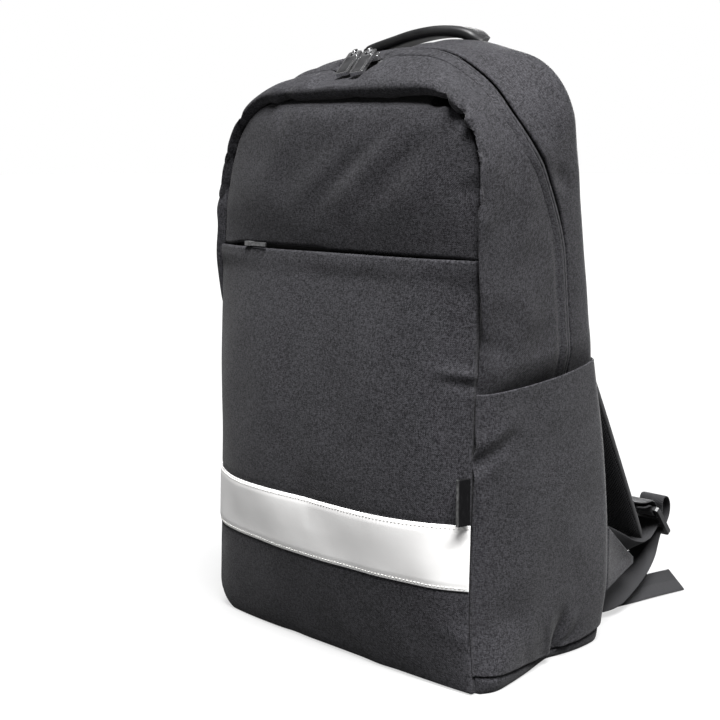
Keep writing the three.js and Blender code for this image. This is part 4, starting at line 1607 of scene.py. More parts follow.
@dataclass
class FrontPanels:
    """Upper and lower padded front panels, the pale band, the slit pocket's zip and the side label."""

    wardrobe: Wardrobe
    foot: float = 0.6
    slit: Pair = (320.5, 322.8)
    top_gap: Rows = ((-1, 0.5), (-0.6, 2.2), (-0.2, 3.6), (0.45, 3.8), (0.8, 5.0), (1, 5.5))
    rounding: float = 2.4
    lower_puff: Rows = (
        (0, 4), (10, 8), (40, 15), (80, 22), (130, 31), (200, 30), (260, 23.5), (321, 12.5),
    )
    upper_puff: Rows = (
        (322, 9.5), (345, 12.5), (365, 13.5), (400, 11.5), (420, 9.5), (430, 7), (438, 4),
    )
    uneven: Pair = (0.35, 60.0)
    seam_turn: Pair = (30.0, 2.0)
    slit_hang: tuple[float, float, float] = (2.0, 0.8, 2.6)
    slit_lift: float = 0.4
    tuck_start: float = 0.93
    tuck_back: float = 20.0
    tuck_up: float = 10.0
    lip: Pair = (1.9, 0.8)
    lip_wave: Pair = (31.0, 0.6)
    hem_sink: float = 0.7
    hem_width: float = 2.4
    stitch_sink: float = 0.35
    stitch_width: float = 1.1
    coil_height: float = 0.9
    coil_width: float = 1.6
    band: Pair = (78.0, 128.0)
    band_reach: float = 0.999
    band_cloth: float = 0.9
    band_hem: float = 2.6
    slit_zip: Pair = (313.0, 333.0)
    slit_reach: float = 0.93
    slit_behind: float = 5.5
    tape: float = 1.2
    label_root: Pair = (145.2, -87.0)
    label_height: Pair = (129.0, 164.0)
    label_length: float = 11.5
    label_width: float = 3.2
    label_cloth: float = 0.8
    label_turn: float = 0.3
    across: Array = field(init=False)
    lower_face: Grid = field(init=False)
    lower_creases: tuple[Crease, ...] = folds(
        (147, 237, 108, 241, 4.5, 1.9), (147, 230, 118, 233, 3.6, -1.7),
        (-146, 60, -120, 66, 7, -0.9), (146, 40, 112, 50, 8, 0.9),
        (146, 300, 120, 292, 6, -0.8), (60, 0, 40, 40, 12, 0.8),
        (-40, 0, -50, 34, 12, -0.7),
    )
    upper_creases: tuple[Crease, ...] = folds(
        (92, 424, -4, 350, 11, 1.7, False), (36, 416, -52, 350, 11, 1.4, False),
        (126, 408, 58, 344, 12, 1.1, False), (62, 420, -28, 348, 9, -1.3, False),
        (112, 420, 28, 346, 9, -1.1, False), (-40, 418, -92, 366, 12, 0.9, False),
        (146, 372, 120, 366, 5, -1.3), (146, 384, 124, 380, 5, 1),
        (100, 433, 94, 416, 5, -1.6), (-64, 433, -62, 414, 6, -1.2),
    )
    band_creases: tuple[Crease, ...] = folds(
        (141, 124, 126, 112, 4, 0.5), (141, 117, 130, 106, 3, -0.4),
    )

    def build(self) -> None:
        """Makes every piece."""
        self.panels()
        self.pale_band()
        self.slit_pocket()
        self.label()

    def sewn(self, name: str, grid: Grid, relief: Callable[[Array, Array], Array], seed: int) -> Grid:
        """Gathers, creases and publishes one padded panel, and returns its outer face.

        Args:
            name: Name of the panel.
            grid: Its smooth face.
            relief: Height of its folds by X and Z.
            seed: Seed of its unevenness.

        Returns:
            The outer face.
        """
        gathered = SeamPull().gathered(grid)
        x, z = grid.points[..., 0], grid.points[..., 2]
        uneven = Unevenness(*self.uneven, seed)(x, z) * smooth(grid.edge(), 0.0, 20.0)
        soft = gathered.raised(relief(x, z) + uneven)
        parts = shell_parts(soft.seamed(*self.seam_turn), FORM.panel_wall, self.rounding, lean=1.0)
        dressed(name, parts, Slot.SHELL, self.wardrobe.shell, fill=0.5)
        return soft

    def panels(self) -> None:
        """The two padded panels, which meet at the slit."""
        self.across = stations(140, 290.0)
        u = 2 * self.across - 1
        v = stations(150, 320.0)
        along = mix(FORM.along_at(self.foot), FORM.along_at(self.slit[0]), v)
        lower = FORM.panel(Curve(self.lower_puff), *np.meshgrid(u, along))
        self.lower_face = self.sewn("front_panel_lower", Grid(lower), self.lower_relief, 11)
        top = mix(FORM.top_end, FORM.corner_end, 0.01)
        v = stations(64, 112.0)
        along = mix(FORM.along_at(self.slit[1]), top, v)
        upper = FORM.panel(Curve(self.upper_puff), *np.meshgrid(u, along))
        middle, right, left = self.slit_hang
        sag = middle * smooth(u, -0.14, 0.02) + right * smooth(u, 0.9, 0.97)
        sag = sag + left * (1 - smooth(u, -0.93, -0.78))
        upper[..., 2] -= (sag - self.slit_lift) * (1 - smooth(v, 0.0, 0.25))[:, None]
        upper[..., 2] -= Curve(self.top_gap)(u) * smooth(v, 0.7, 0.94)[:, None]
        tuck = np.clip((v - self.tuck_start) / (1 - self.tuck_start), 0.0, 1.0)[:, None] ** 2
        upper[..., 1] += self.tuck_back * tuck
        upper[..., 2] += self.tuck_up * tuck
        self.sewn("front_panel_upper", Grid(upper), self.upper_relief, 12)

    def lower_relief(self, x: Array, z: Array) -> Array:
        """Folds of the lower panel, its proud lip at the slit and the pull of the band's stitching.

        Args:
            x: X of the places.
            z: Heights of the places.

        Returns:
            Heights of the folds.
        """
        proud, more = self.lip
        length, phase = self.lip_wave
        lip = (proud + more * np.sin(x / length + phase)) * smooth(z, 300.0, 315.0)
        hem = sum(-self.hem_sink * bell(z - edge, self.hem_width) for edge in self.band)
        return creased(x, z, self.lower_creases) + lip + hem

    def upper_relief(self, x: Array, z: Array) -> Array:
        """Slanting folds of the upper panel."""
        return creased(x, z, self.upper_creases)

    def pale_band(self) -> None:
        """The band of pale tape across the lower panel, with a row of stitches along each edge."""
        u = mix(-self.band_reach, self.band_reach, stations(150, 285.0))
        height = mix(*self.band, stations(22, 50.0, (0.3, 0.8)))
        flat = self.on_panel(u, height)
        x, z = flat.points[..., 0], flat.points[..., 2]
        low, high = (height[:, None] - edge for edge in self.band)
        rows = (low - self.band_hem, high + self.band_hem)
        sunk = self.stitch_sink * sum(bell(away, self.stitch_width) for away in rows)
        wave = Unevenness(0.12, 46.0, 5)(x, z) * smooth(flat.edge(), 2.0, 12.0)
        pinch = creased(x, z, self.band_creases)
        face = flat.raised(FORM.gap + self.band_cloth + wave + pinch - sunk)
        parts = shell_parts(face, self.band_cloth, 0.6)
        piece = dressed("reflective_band", parts, Slot.BAND, self.wardrobe.tape)
        sewing = []
        normals = face.normals()
        for edge in (self.band[0] + self.band_hem, self.band[1] - self.band_hem):
            row = int(np.argmin(np.abs(height - edge)))
            sewing.append(Stitches().parts(face.points[row, 2:-2], normals[row, 2:-2]))
        thread = make_object("band_stitching", joined_parts(sewing), self.wardrobe.white_thread)
        publish(thread, Slot.BAND)

    def on_panel(self, u: Array, height: Array) -> Grid:
        """Part of the lower panel's outer face: points read between its rows, then between its columns.

        Args:
            u: Places across, from -1 to 1.
            height: Heights in the panel's middle.

        Returns:
            That part of the face.
        """
        rows = self.lower_face.points
        level = rows[:, rows.shape[1] // 2, 2]
        row = np.interp(height, level, np.arange(len(level)))
        below = np.clip(np.floor(row).astype(int), 0, len(level) - 2)
        lines = mix(rows[below], rows[below + 1], (row - below)[:, None, None])
        place = (u + 1) / 2
        column = np.interp(place, self.across, np.arange(len(self.across)))
        left = np.clip(np.floor(column).astype(int), 0, len(self.across) - 2)
        return Grid(mix(lines[:, left], lines[:, left + 1], (column - left)[None, :, None]))

    def slit_pocket(self) -> None:
        """The zip inside the slit and its small slider."""
        u = mix(-self.slit_reach, self.slit_reach, np.linspace(0, 1, 80))
        along = FORM.along_at(np.linspace(*self.slit_zip, 18))
        face = Grid(FORM.panel(Curve(self.lower_puff), *np.meshgrid(u, along)))
        z = face.points[..., 2]
        ridge = self.coil_height * bell(z - sum(self.slit) / 2, self.coil_width)
        sunk = face.raised(ridge - FORM.panel_wall - self.slit_behind)
        dressed("pocket_zip", shell_parts(sunk, self.tape, 0.8), Slot.TRIM, self.wardrobe.zip_tape)
        slider = bevelled_copy("pocket_zip_slider", "slit_slider", 0.5, self.wardrobe.dark_metal)
        publish(slider, Slot.METAL, "pocket_zip_slider")

    def label(self) -> None:
        """A folded label: a ribbon that goes out from the seam, round a half circle and back."""
        half = (self.label_width - self.label_cloth) / 2
        straight = self.label_length - self.label_width / 2
        turn = np.linspace(0, np.pi, 14)
        leg = np.linspace(0, straight, 12)
        out = np.concatenate([leg, straight + half * np.sin(turn), leg[::-1]])
        across = np.concatenate([np.full(len(leg), -half), -half * np.cos(turn), np.full(len(leg), half)])
        pinch = 1 - 0.55 * smooth(out, 9.0, 0.0)
        angle = math.pi - self.label_turn
        x = self.label_root[0] + across * pinch * math.cos(angle) - out * math.sin(angle)
        y = self.label_root[1] + across * pinch * math.sin(angle) + out * math.cos(angle)
        height = mix(*self.label_height, stations(20, 35.0, (0.4, 0.9)))
        ribbon = Grid(stack(x[None, :], y[None, :], height[:, None]))
        parts = shell_parts(ribbon.raised(self.label_cloth / 2), self.label_cloth, 0.35)
        dressed("label_tab", parts, Slot.TRIM, self.wardrobe.label)


@dataclass
class Gusset:
    """Hood, side walls, rear strip, main zip and the flaps over it."""

    wardrobe: Wardrobe
    hood_seam: float = 0.32
    wall: float = 3.0
    lip_cloth: float = 1.0
    lip_roll: Pair = (0.04, 0.16)
    slot: float = 10.0
    slot_close: Pair = (0.73, 0.77)
    welt: Pair = (0.47, 0.56)
    welt_edge: float = 2.2
    welt_line: float = 10.5
    welt_sink: float = 0.9
    welt_groove: float = 1.1
    welt_cloth: float = 1.1
    hood_columns: int = 170
    zip_rows: int = 3200
    zip_under: float = -4.8
    zip_profile: Rows = ((9.0, -3.9), (4.2, -3.6), (4.0, -1.3), (2.0, -1.3))
    coil_half: float = 1.2
    coil_crest: Pair = (-0.9, 0.55)
    coil_turn: float = np.pi / 2.5
    flap_stops: Pair = (-0.085, 0.032)
    flap_free: Pair = (1.4, 2.4)
    flap_lift: float = 3.0
    rounding: float = 2.0
    hood_creases: tuple[Crease, ...] = folds(
        (108, 0, 102, 34, 5, -2.6), (118, 0, 115, 30, 5, 2.4),
        (127, 0, 133, 22, 3.4, -5), (134, 0, 142, 20, 3, 2.6),
        (141, 0, 152, 16, 3.4, -4.4), (-66, 0, -60, 30, 6, -2.4),
        (-80, 0, -78, 26, 6, 1.6), (10, 0, 16, 34, 9, -1.2),
        (48, 0, 56, 36, 9, 1.3), (-130, 0, -126, 24, 5, -2.2),
    )
    side_creases: tuple[Crease, ...] = folds(
        (0, 392, 26, 402, 5, -2.8), (0, 404, 24, 412, 5, 1.6),
        (0, 368, 22, 360, 6, -1.3), (0, 352, 26, 344, 8, 1),
        (0, 262, 40, 246, 9, -1.4), (30, 300, 70, 262, 14, 1.1, False),
    )

    def build(self) -> None:
        """Makes every piece."""
        self.cover()
        self.rear_strip()
        self.main_zip()
        self.flaps()

    def slot_half(self, along: Array) -> Array:
        """Half width of the zip's slot, which closes to a seam below the zip's ends."""
        reach = np.abs(along)
        return mix(self.slot / 2, FORM.gap / 2, smooth(reach, *self.slot_close))

    def cover(self) -> None:
        """Hood and both sides as one soft surface from the front seam to the zip, cut at the hood's seams."""
        side = stations(190, 430.0)
        left = mix(-FORM.base_end, -self.hood_seam, side)
        middle = np.linspace(-self.hood_seam, self.hood_seam, self.hood_columns)
        along = np.unique(np.concatenate([left, middle, -left]).round(9))
        reach = np.abs(along)
        covered = window(reach, self.welt, self.slot_close)
        edge = mix(self.slot_half(along), self.welt_edge, covered)
        end = FORM.beside_zip(along, -edge)
        depth = stations(60, 90.0, (0.3, 0.8, 1.5, 2.4)) ** 1.25
        share = mix(SEAM_SHARE, end, depth[:, None])
        grid = Grid(FORM.gusset(along[None, :], share))
        gathered = SeamPull().gathered(grid)
        place, away = grid.cloth[..., 0], grid.cloth[..., 1]
        z = grid.points[..., 2]
        relief = creased(place, away, self.hood_creases)
        relief = relief + creased(away, z, self.side_creases) * smooth(reach, 0.34, 0.44)
        relief = relief + Unevenness(0.4, 45.0, 21)(place, away) * smooth(grid.edge(), 0.0, 16.0)
        behind = (FORM.zip_share(along) - share) * (FORM.back(z) - FORM.front(z))
        relief = relief - self.welt_sink * covered * bell(behind - self.welt_line, self.welt_groove)
        wall = mix(self.lip_cloth, self.wall, smooth(share, *self.lip_roll))
        wall = mix(wall, self.welt_cloth, covered * (1 - smooth(behind, 3.0, 7.0)))
        calm = mix(grid.points, gathered.points, smooth(away, 8.0, 26.0)[..., None])
        soft = Grid(calm).raised(relief)
        cuts = [0, *np.searchsorted(along, (-self.hood_seam - 1e-6, self.hood_seam - 1e-6)), len(along) - 1]
        names = ("side_panel_left", "top_hood", "side_panel_right")
        for name, first, last in zip(names, cuts, cuts[1:]):
            parts = shell_parts(soft.strip(first, last), wall[:, first:last + 1], self.rounding)
            dressed(name, parts, Slot.SHELL, self.wardrobe.shell, fill=0.5)

    def rear_strip(self) -> None:
        """The strip from the zip to the back seam, foot to foot over the top."""
        along = mix(-FORM.base_end, FORM.base_end, stations(360, 1190.0))
        start = FORM.beside_zip(along, self.slot_half(along))
        share = mix(start, 1 - SEAM_SHARE, stations(34, 60.0)[:, None])
        grid = Grid(FORM.gusset(along[None, :], share))
        gathered = SeamPull(reach=18.0).gathered(grid)
        place, away = grid.cloth[..., 0], grid.cloth[..., 1]
        uneven = Unevenness(0.45, 55.0, 31)(place, away) * smooth(grid.edge(), 0.0, 14.0)
        dents = [Crease((204.0 * s, 6.0), (226.0 * s, 20.0), 8.0, -1.6, False) for s in (1, -1)]
        soft = gathered.raised(uneven + creased(place, away, dents))
        parts = shell_parts(soft, self.wall, self.rounding)
        dressed("back_gusset", parts, Slot.SHELL, self.wardrobe.shell, fill=0.5)

    def main_zip(self) -> None:
        """Zip tape with a ridge of coil teeth, as an outline carried along the zip line."""
        along = np.linspace(-FORM.zip_end, FORM.zip_end, self.zip_rows)
        tooth = 0.5 + 0.5 * np.sin(np.arange(len(along)) * self.coil_turn)
        frames = FORM.zip_frames(along)
        low, high = self.coil_crest
        crest = low + high * tooth
        level = np.zeros_like(crest)
        half = self.zip_profile[0][0]
        rise = [*((x, level + up) for x, up in self.zip_profile), (self.coil_half, crest)]
        under = [(x, level + self.zip_under) for x in (-half, half)]
        shape = [*under, *rise, *((-x, up) for x, up in reversed(rise))]
        outline = np.stack([np.stack([level + x, up], axis=1) for x, up in shape], axis=1)
        dressed("main_zip", tube_parts(frames.swept(outline)), Slot.TRIM, self.wardrobe.zip_tape)

    def flaps(self) -> None:
        """Cloth flaps sewn in front of the zip: a stitched fold over it, free along the rear."""
        for side, stop in zip(Side, self.flap_stops):
            along = np.linspace(stop, side.value * FORM.zip_end, 220)
            frames = FORM.zip_frames(along)
            reach = np.abs(along)
            free = mix(*self.flap_free, smooth(reach, *self.welt))
            lift = self.flap_lift * (1 - smooth(np.abs(along - stop), 0.0, 0.06))
            level = np.zeros_like(free)
            shape = [
                (level - 9.5, level - 2.6),
                (level - 9.5, level - 0.35),
                (level - 7.9, level + 0.3),
                (level - 6.0, level + 0.8),
                (mix(free, level - 6.0, 0.6), 1.2 + 0.3 * lift),
                (free - 3.5, 1.35 + 0.65 * lift),
                (free - 2.9, 0.85 + 0.7 * lift),
                (free - 2.3, 1.35 + 0.75 * lift),
                (free - 0.4, 1.2 + lift),
                (free, 0.75 + lift),
                (free - 0.4, 0.3 + lift),
                (free - 1.6, 0.1 + 0.8 * lift),
                (mix(free, level - 6.0, 0.6), level - 0.1),
                (level - 7.5, level - 2.6),
            ]
            outline = np.stack([np.stack(pair, axis=-1) for pair in shape], axis=1)
            name = f"zip_flap_{side.label}"
            dressed(name, tube_parts(frames.swept(outline)), Slot.SHELL, self.wardrobe.shell, sharp=70.0)


@dataclass
class ZipHardware:
    """Sliders of the main zip, their hinged pulls and the inserts in them."""

    wardrobe: Wardrobe
    slider_edge: float = 0.45
    pull_edge: float = 0.55
    insert_edge: float = 0.3

    def build(self) -> None:
        """Rounds the CAD solids and dresses them."""
        metal, plastic = self.wardrobe.metal, self.wardrobe.plastic
        for side in Side:
            pull = f"pull_{side.label}"
            for kind, name, edge, finish, slot, body in (
                ("zip_slider", "slider", self.slider_edge, metal, Slot.METAL, BODY),
                ("zip_pull", "puller", self.pull_edge, metal, Slot.METAL, pull),
                ("pull_insert", "grip", self.insert_edge, plastic, Slot.TRIM, pull),
            ):
                node = f"{kind}_{side.label}"
                publish(bevelled_copy(node, f"{name}_{side.label}", edge, finish), slot, node, body=body)


@dataclass
class SidePockets:
    """Flat open pockets on both sides."""

    wardrobe: Wardrobe
    share: Pair = (-0.012, 0.985)
    proud: float = 1.2
    bulge: float = 3.0
    cloth: float = 1.6
    creases: tuple[Crease, ...] = folds(
        (-84, 172, -40, 194, 6, -2.2), (-84, 184, -36, 206, 6.5, 1.7),
        (-84, 160, -50, 176, 7, 1), (12, 9, 20, 44, 4, -2.4),
        (4, 9, 0, 46, 6, 2), (24, 9, 34, 40, 5, 1.6),
        (18, 9, 48, 26, 3.6, -1.4), (-30, 9, -36, 40, 9, -0.9),
        (-60, 60, -10, 90, 16, 0.8, False), (10, 130, 50, 70, 18, 0.9, False),
        (-10, 226, -30, 196, 12, -0.8),
    )

    def build(self) -> None:
        """Makes both pockets."""
        for side in Side:
            self.pocket(side)

    def face(self, side: Side, u: Array, v: Array) -> Array:
        """Outer face: the section's half width, stood proud, with a sine bulge and the sag above the base.

        Args:
            side: The side of the bag.
            u: Place from front to back, 0 to 1.
            v: Place from foot to rim, 0 to 1.

        Returns:
            Points.
        """
        share = mix(*self.share, u)
        z = mix(FORM.foot_rim(share), FORM.pocket_rim(share), v)
        swell = self.bulge * np.sin(np.pi * u) * np.sin(np.pi * mix(0.1, 0.75, v))
        half = FORM.section(share).half * (1 - FORM.side_taper * z)
        x = half + self.proud + swell + FORM.foot_reach(side, share, z)
        return stack(side.value * x, mix(FORM.front(z), FORM.back(z), share), z)

    def pocket(self, side: Side) -> None:
        """One pocket.

        Args:
            side: The side of the bag.
        """
        u = stations(100, 170.0)[:: side.value]
        v = stations(110, 215.0, (0.3, 0.8, 1.5))
        grid = Grid(self.face(side, *np.meshgrid(u, v)))
        gathered = SeamPull(slack=0.02, pressure=0.2, cap=2.0).gathered(grid)
        y, z = grid.points[..., 1], grid.points[..., 2]
        uneven = Unevenness(0.5, 70.0, 40 + side.value)(y, z) * smooth(grid.edge(), 0.0, 18.0)
        soft = gathered.raised(creased(y, z, self.creases) + uneven)
        name = f"side_pocket_{side.label}"
        piece = dressed(name, shell_parts(soft, self.cloth, 1.0), Slot.SHELL, self.wardrobe.shell)
        f"side_panel_{side.label}"


@dataclass
class BaseAndBack:
    """The base, rolled up at its edges, and the padded back."""

    wardrobe: Wardrobe
    cloth: float = 3.0
    turn: float = 3.0
    below: float = 0.8
    pad_edge: float = 3.0
    pad_fill: float = 7.0
    seam_turn: Pair = (-25.0, 2.5)

    def build(self) -> None:
        """Makes both pieces."""
        self.base()
        self.back()

    def base(self) -> None:
        """Base: flat, with a quarter-ellipse roll at the sides and the back up to the pockets' seams."""
        u, v = np.meshgrid(np.linspace(1.0, 0.0, 120), np.linspace(0.0, 1.0, 70))
        share = mix(SEAM_SHARE, 1.0, np.sin(v * np.pi / 2))
        level = np.zeros_like(share)
        reach = [FORM.foot_reach(side, share, level) for side in (Side.LEFT, Side.RIGHT)]
        half = FORM.section(share).half - FORM.gap + np.where(u < 0.5, *reach)
        x = half * np.sin((2 * u - 1) * np.pi / 2)
        depth = FORM.back(0.0) - FORM.front(0.0)
        inset = np.minimum(np.minimum(half - np.abs(x), (1 - share) * depth), self.turn)
        rise = (FORM.foot_rim(share) - self.below) * (1 - np.sqrt(1 - (1 - inset / self.turn) ** 2))
        grid = Grid(stack(x, mix(FORM.front(0.0), FORM.back(0.0), share), rise))
        parts = shell_parts(grid, self.cloth, 1.2)
        dressed("bottom_panel", parts, Slot.SHELL, self.wardrobe.shell, fill=0.3)

    def back(self) -> None:
        """Back: mesh over foam, fuller in the middle, with a strip turned in behind each side seam."""
        u, v = np.meshgrid(np.linspace(1.0, 0.0, 110), np.linspace(0.0, 1.0, 150))
        along = mix(FORM.base_end, mix(FORM.top_end, FORM.corner_end, 0.02), v)
        rear = np.ones_like(along)
        edge_x, edge_z = FORM.arch(along, rear)
        section = FORM.section(rear)
        x = (2 * u - 1) * edge_x
        lift = smooth(v, 0.5, 1.0) * section.crown
        z = edge_z + lift * ((edge_x / section.half) ** 2 - (x / section.half) ** 2)
        fill = self.pad_fill * (1 - np.abs(2 * u - 1) ** 6) * (1 - np.abs(2 * v - 1) ** 8)
        deep = FORM.gap + self.pad_edge + fill
        grid = Grid(stack(x, FORM.back(z) + deep, z))
        thick = np.pad(deep - FORM.gap, ((0, 0), (1, 1)), "edge")
        parts = shell_parts(grid.seamed(*self.seam_turn), thick, 2.0)
        dressed("back_panel", parts, Slot.MESH, self.wardrobe.mesh, fill=0.7)


def rounded_points(turn: Array, half: float | Array, thick: float, power: float) -> Array:
    """Points round a flat outline: cosine and sine, each to a power, times half width and half thickness.

    Args:
        turn: Turns in radians.
        half: Half width, one for all outlines or one each.
        thick: Thickness.
        power: Power of the cosine; a small one makes the edges squarer.

    Returns:
        Sideways and upward lengths, outlines by turns.
    """
    x = np.sign(np.cos(turn)) * np.abs(np.cos(turn)) ** power
    y = np.sign(np.sin(turn)) * np.abs(np.sin(turn)) ** EDGE_POWER
    width = np.atleast_1d(np.asarray(half, float))[:, None]
    return np.stack([width * x, np.broadcast_to(y * thick / 2, (len(width), len(turn)))], axis=-1)


def rounded_outline(half: float | Array, thick: float, count: int, power: float = 0.45) -> Array:
    """A whole flat outline with round edges, of a number of points."""
    return rounded_points(np.arange(count) * 2 * np.pi / count, half, thick, power)


def route_frames(
    rows: Sequence[Sequence[float]], count: int, roll: Sequence[float] | float = 0.0
) -> tuple[Frames, Array]:
    """Frames along a route whose width lies near the X axis, turned by a roll at each row.

    Args:
        rows: Points of the route.
        count: Number of frames.
        roll: Roll in degrees, at each row or the same at all.

    Returns:
        The frames and the row number of each.
    """
    line, places = Route(rows).spread(count)
    run = unit(np.gradient(line, axis=0))
    rolls = np.broadcast_to(np.asarray(roll, float), len(rows))
    turn = np.radians(np.interp(places, np.arange(len(rows)), rolls))
    hint = stack(np.cos(turn), 0 * turn, np.sin(turn))
    side = unit(hint - run * (hint * run).sum(axis=1, keepdims=True))
    return Frames(line, side, np.cross(side, run)), places


@dataclass
class GrabHandle:
    """Padded grip over the top and the webbing at its ends."""

    wardrobe: Wardrobe
    width: float = 25.0
    thick: float = 9.4
    end_width: float = 18.0
    end_thick: float = 2.2
    end_drop: float = 6.5
    end_out: float = 6.5
    end_start: Pair = (3.6, 1.4)
    end_bend: float = 0.45
    rows: int = 120
    slim: float = 0.22
    slim_ends: tuple[Pair, Pair] = ((0.0, 0.08), (0.93, 1.0))
    groove_width: float = 0.9
    groove_depth: float = 0.9
    route: tuple[Point, ...] = (
        (-68, 27, 482.7), (-54, 24, 485.2), (-30, 22, 489.2), (-6, 20, 492.7),
        (18, 20, 494.2), (38, 21, 492.7), (50, 24, 489.2), (56, 27, 484),
    )

    def frames(self, rows: Sequence[Sequence[float]], count: int) -> Frames:
        """Frames along a route that runs along X, with up square to it.

        Args:
            rows: Points of the route.
            count: Number of frames.

        Returns:
            The frames.
        """
        line, _ = Route(rows).spread(count)
        run = unit(np.gradient(line, axis=0))
        up = unit(np.cross(run, np.array([0.0, 1.0, 0.0])))
        return Frames(line, np.cross(up, run), up)

    def build(self) -> None:
        """Makes the grip and its two ends."""
        frames = self.frames(self.route, self.rows)
        place = np.linspace(0.0, 1.0, self.rows)
        first, last = self.slim_ends
        slim = 1 - self.slim * (1 - smooth(place, *first)) - self.slim * smooth(place, *last)
        outline = rounded_outline(self.width / 2 * slim, self.thick, 40)
        groove = bell(outline[..., 0], self.groove_width) * (outline[..., 1] < 0)
        outline[..., 1] = outline[..., 1] * (0.75 + 0.25 * slim[:, None]) + self.groove_depth * groove
        parts = tube_parts(frames.swept(outline))
        dressed("handle_grip", parts, Slot.HANDLE, self.wardrobe.leather, fill=0.7, sharp=60.0)
        for side in Side:
            self.end(side)

    def end(self, side: Side) -> None:
        """Webbing that goes down from an end of the grip into the top.

        Args:
            side: The side of the bag.
        """
        x, y, z = self.route[0] if side is Side.LEFT else self.route[-1]
        out, down = self.end_start
        rows = [
            (x + side.value * out, y, z - down),
            (x + side.value * (self.end_out - 1), y, z - self.end_drop * self.end_bend),
            (x + side.value * (self.end_out + 1), y, z - self.end_drop),
        ]
        rings = self.frames(rows, 24).swept(rounded_outline(self.end_width / 2, self.end_thick, 28, 0.25))
        name = f"handle_webbing_{side.label}"
        dressed(name, tube_parts(rings), Slot.WEBBING, self.wardrobe.webbing)


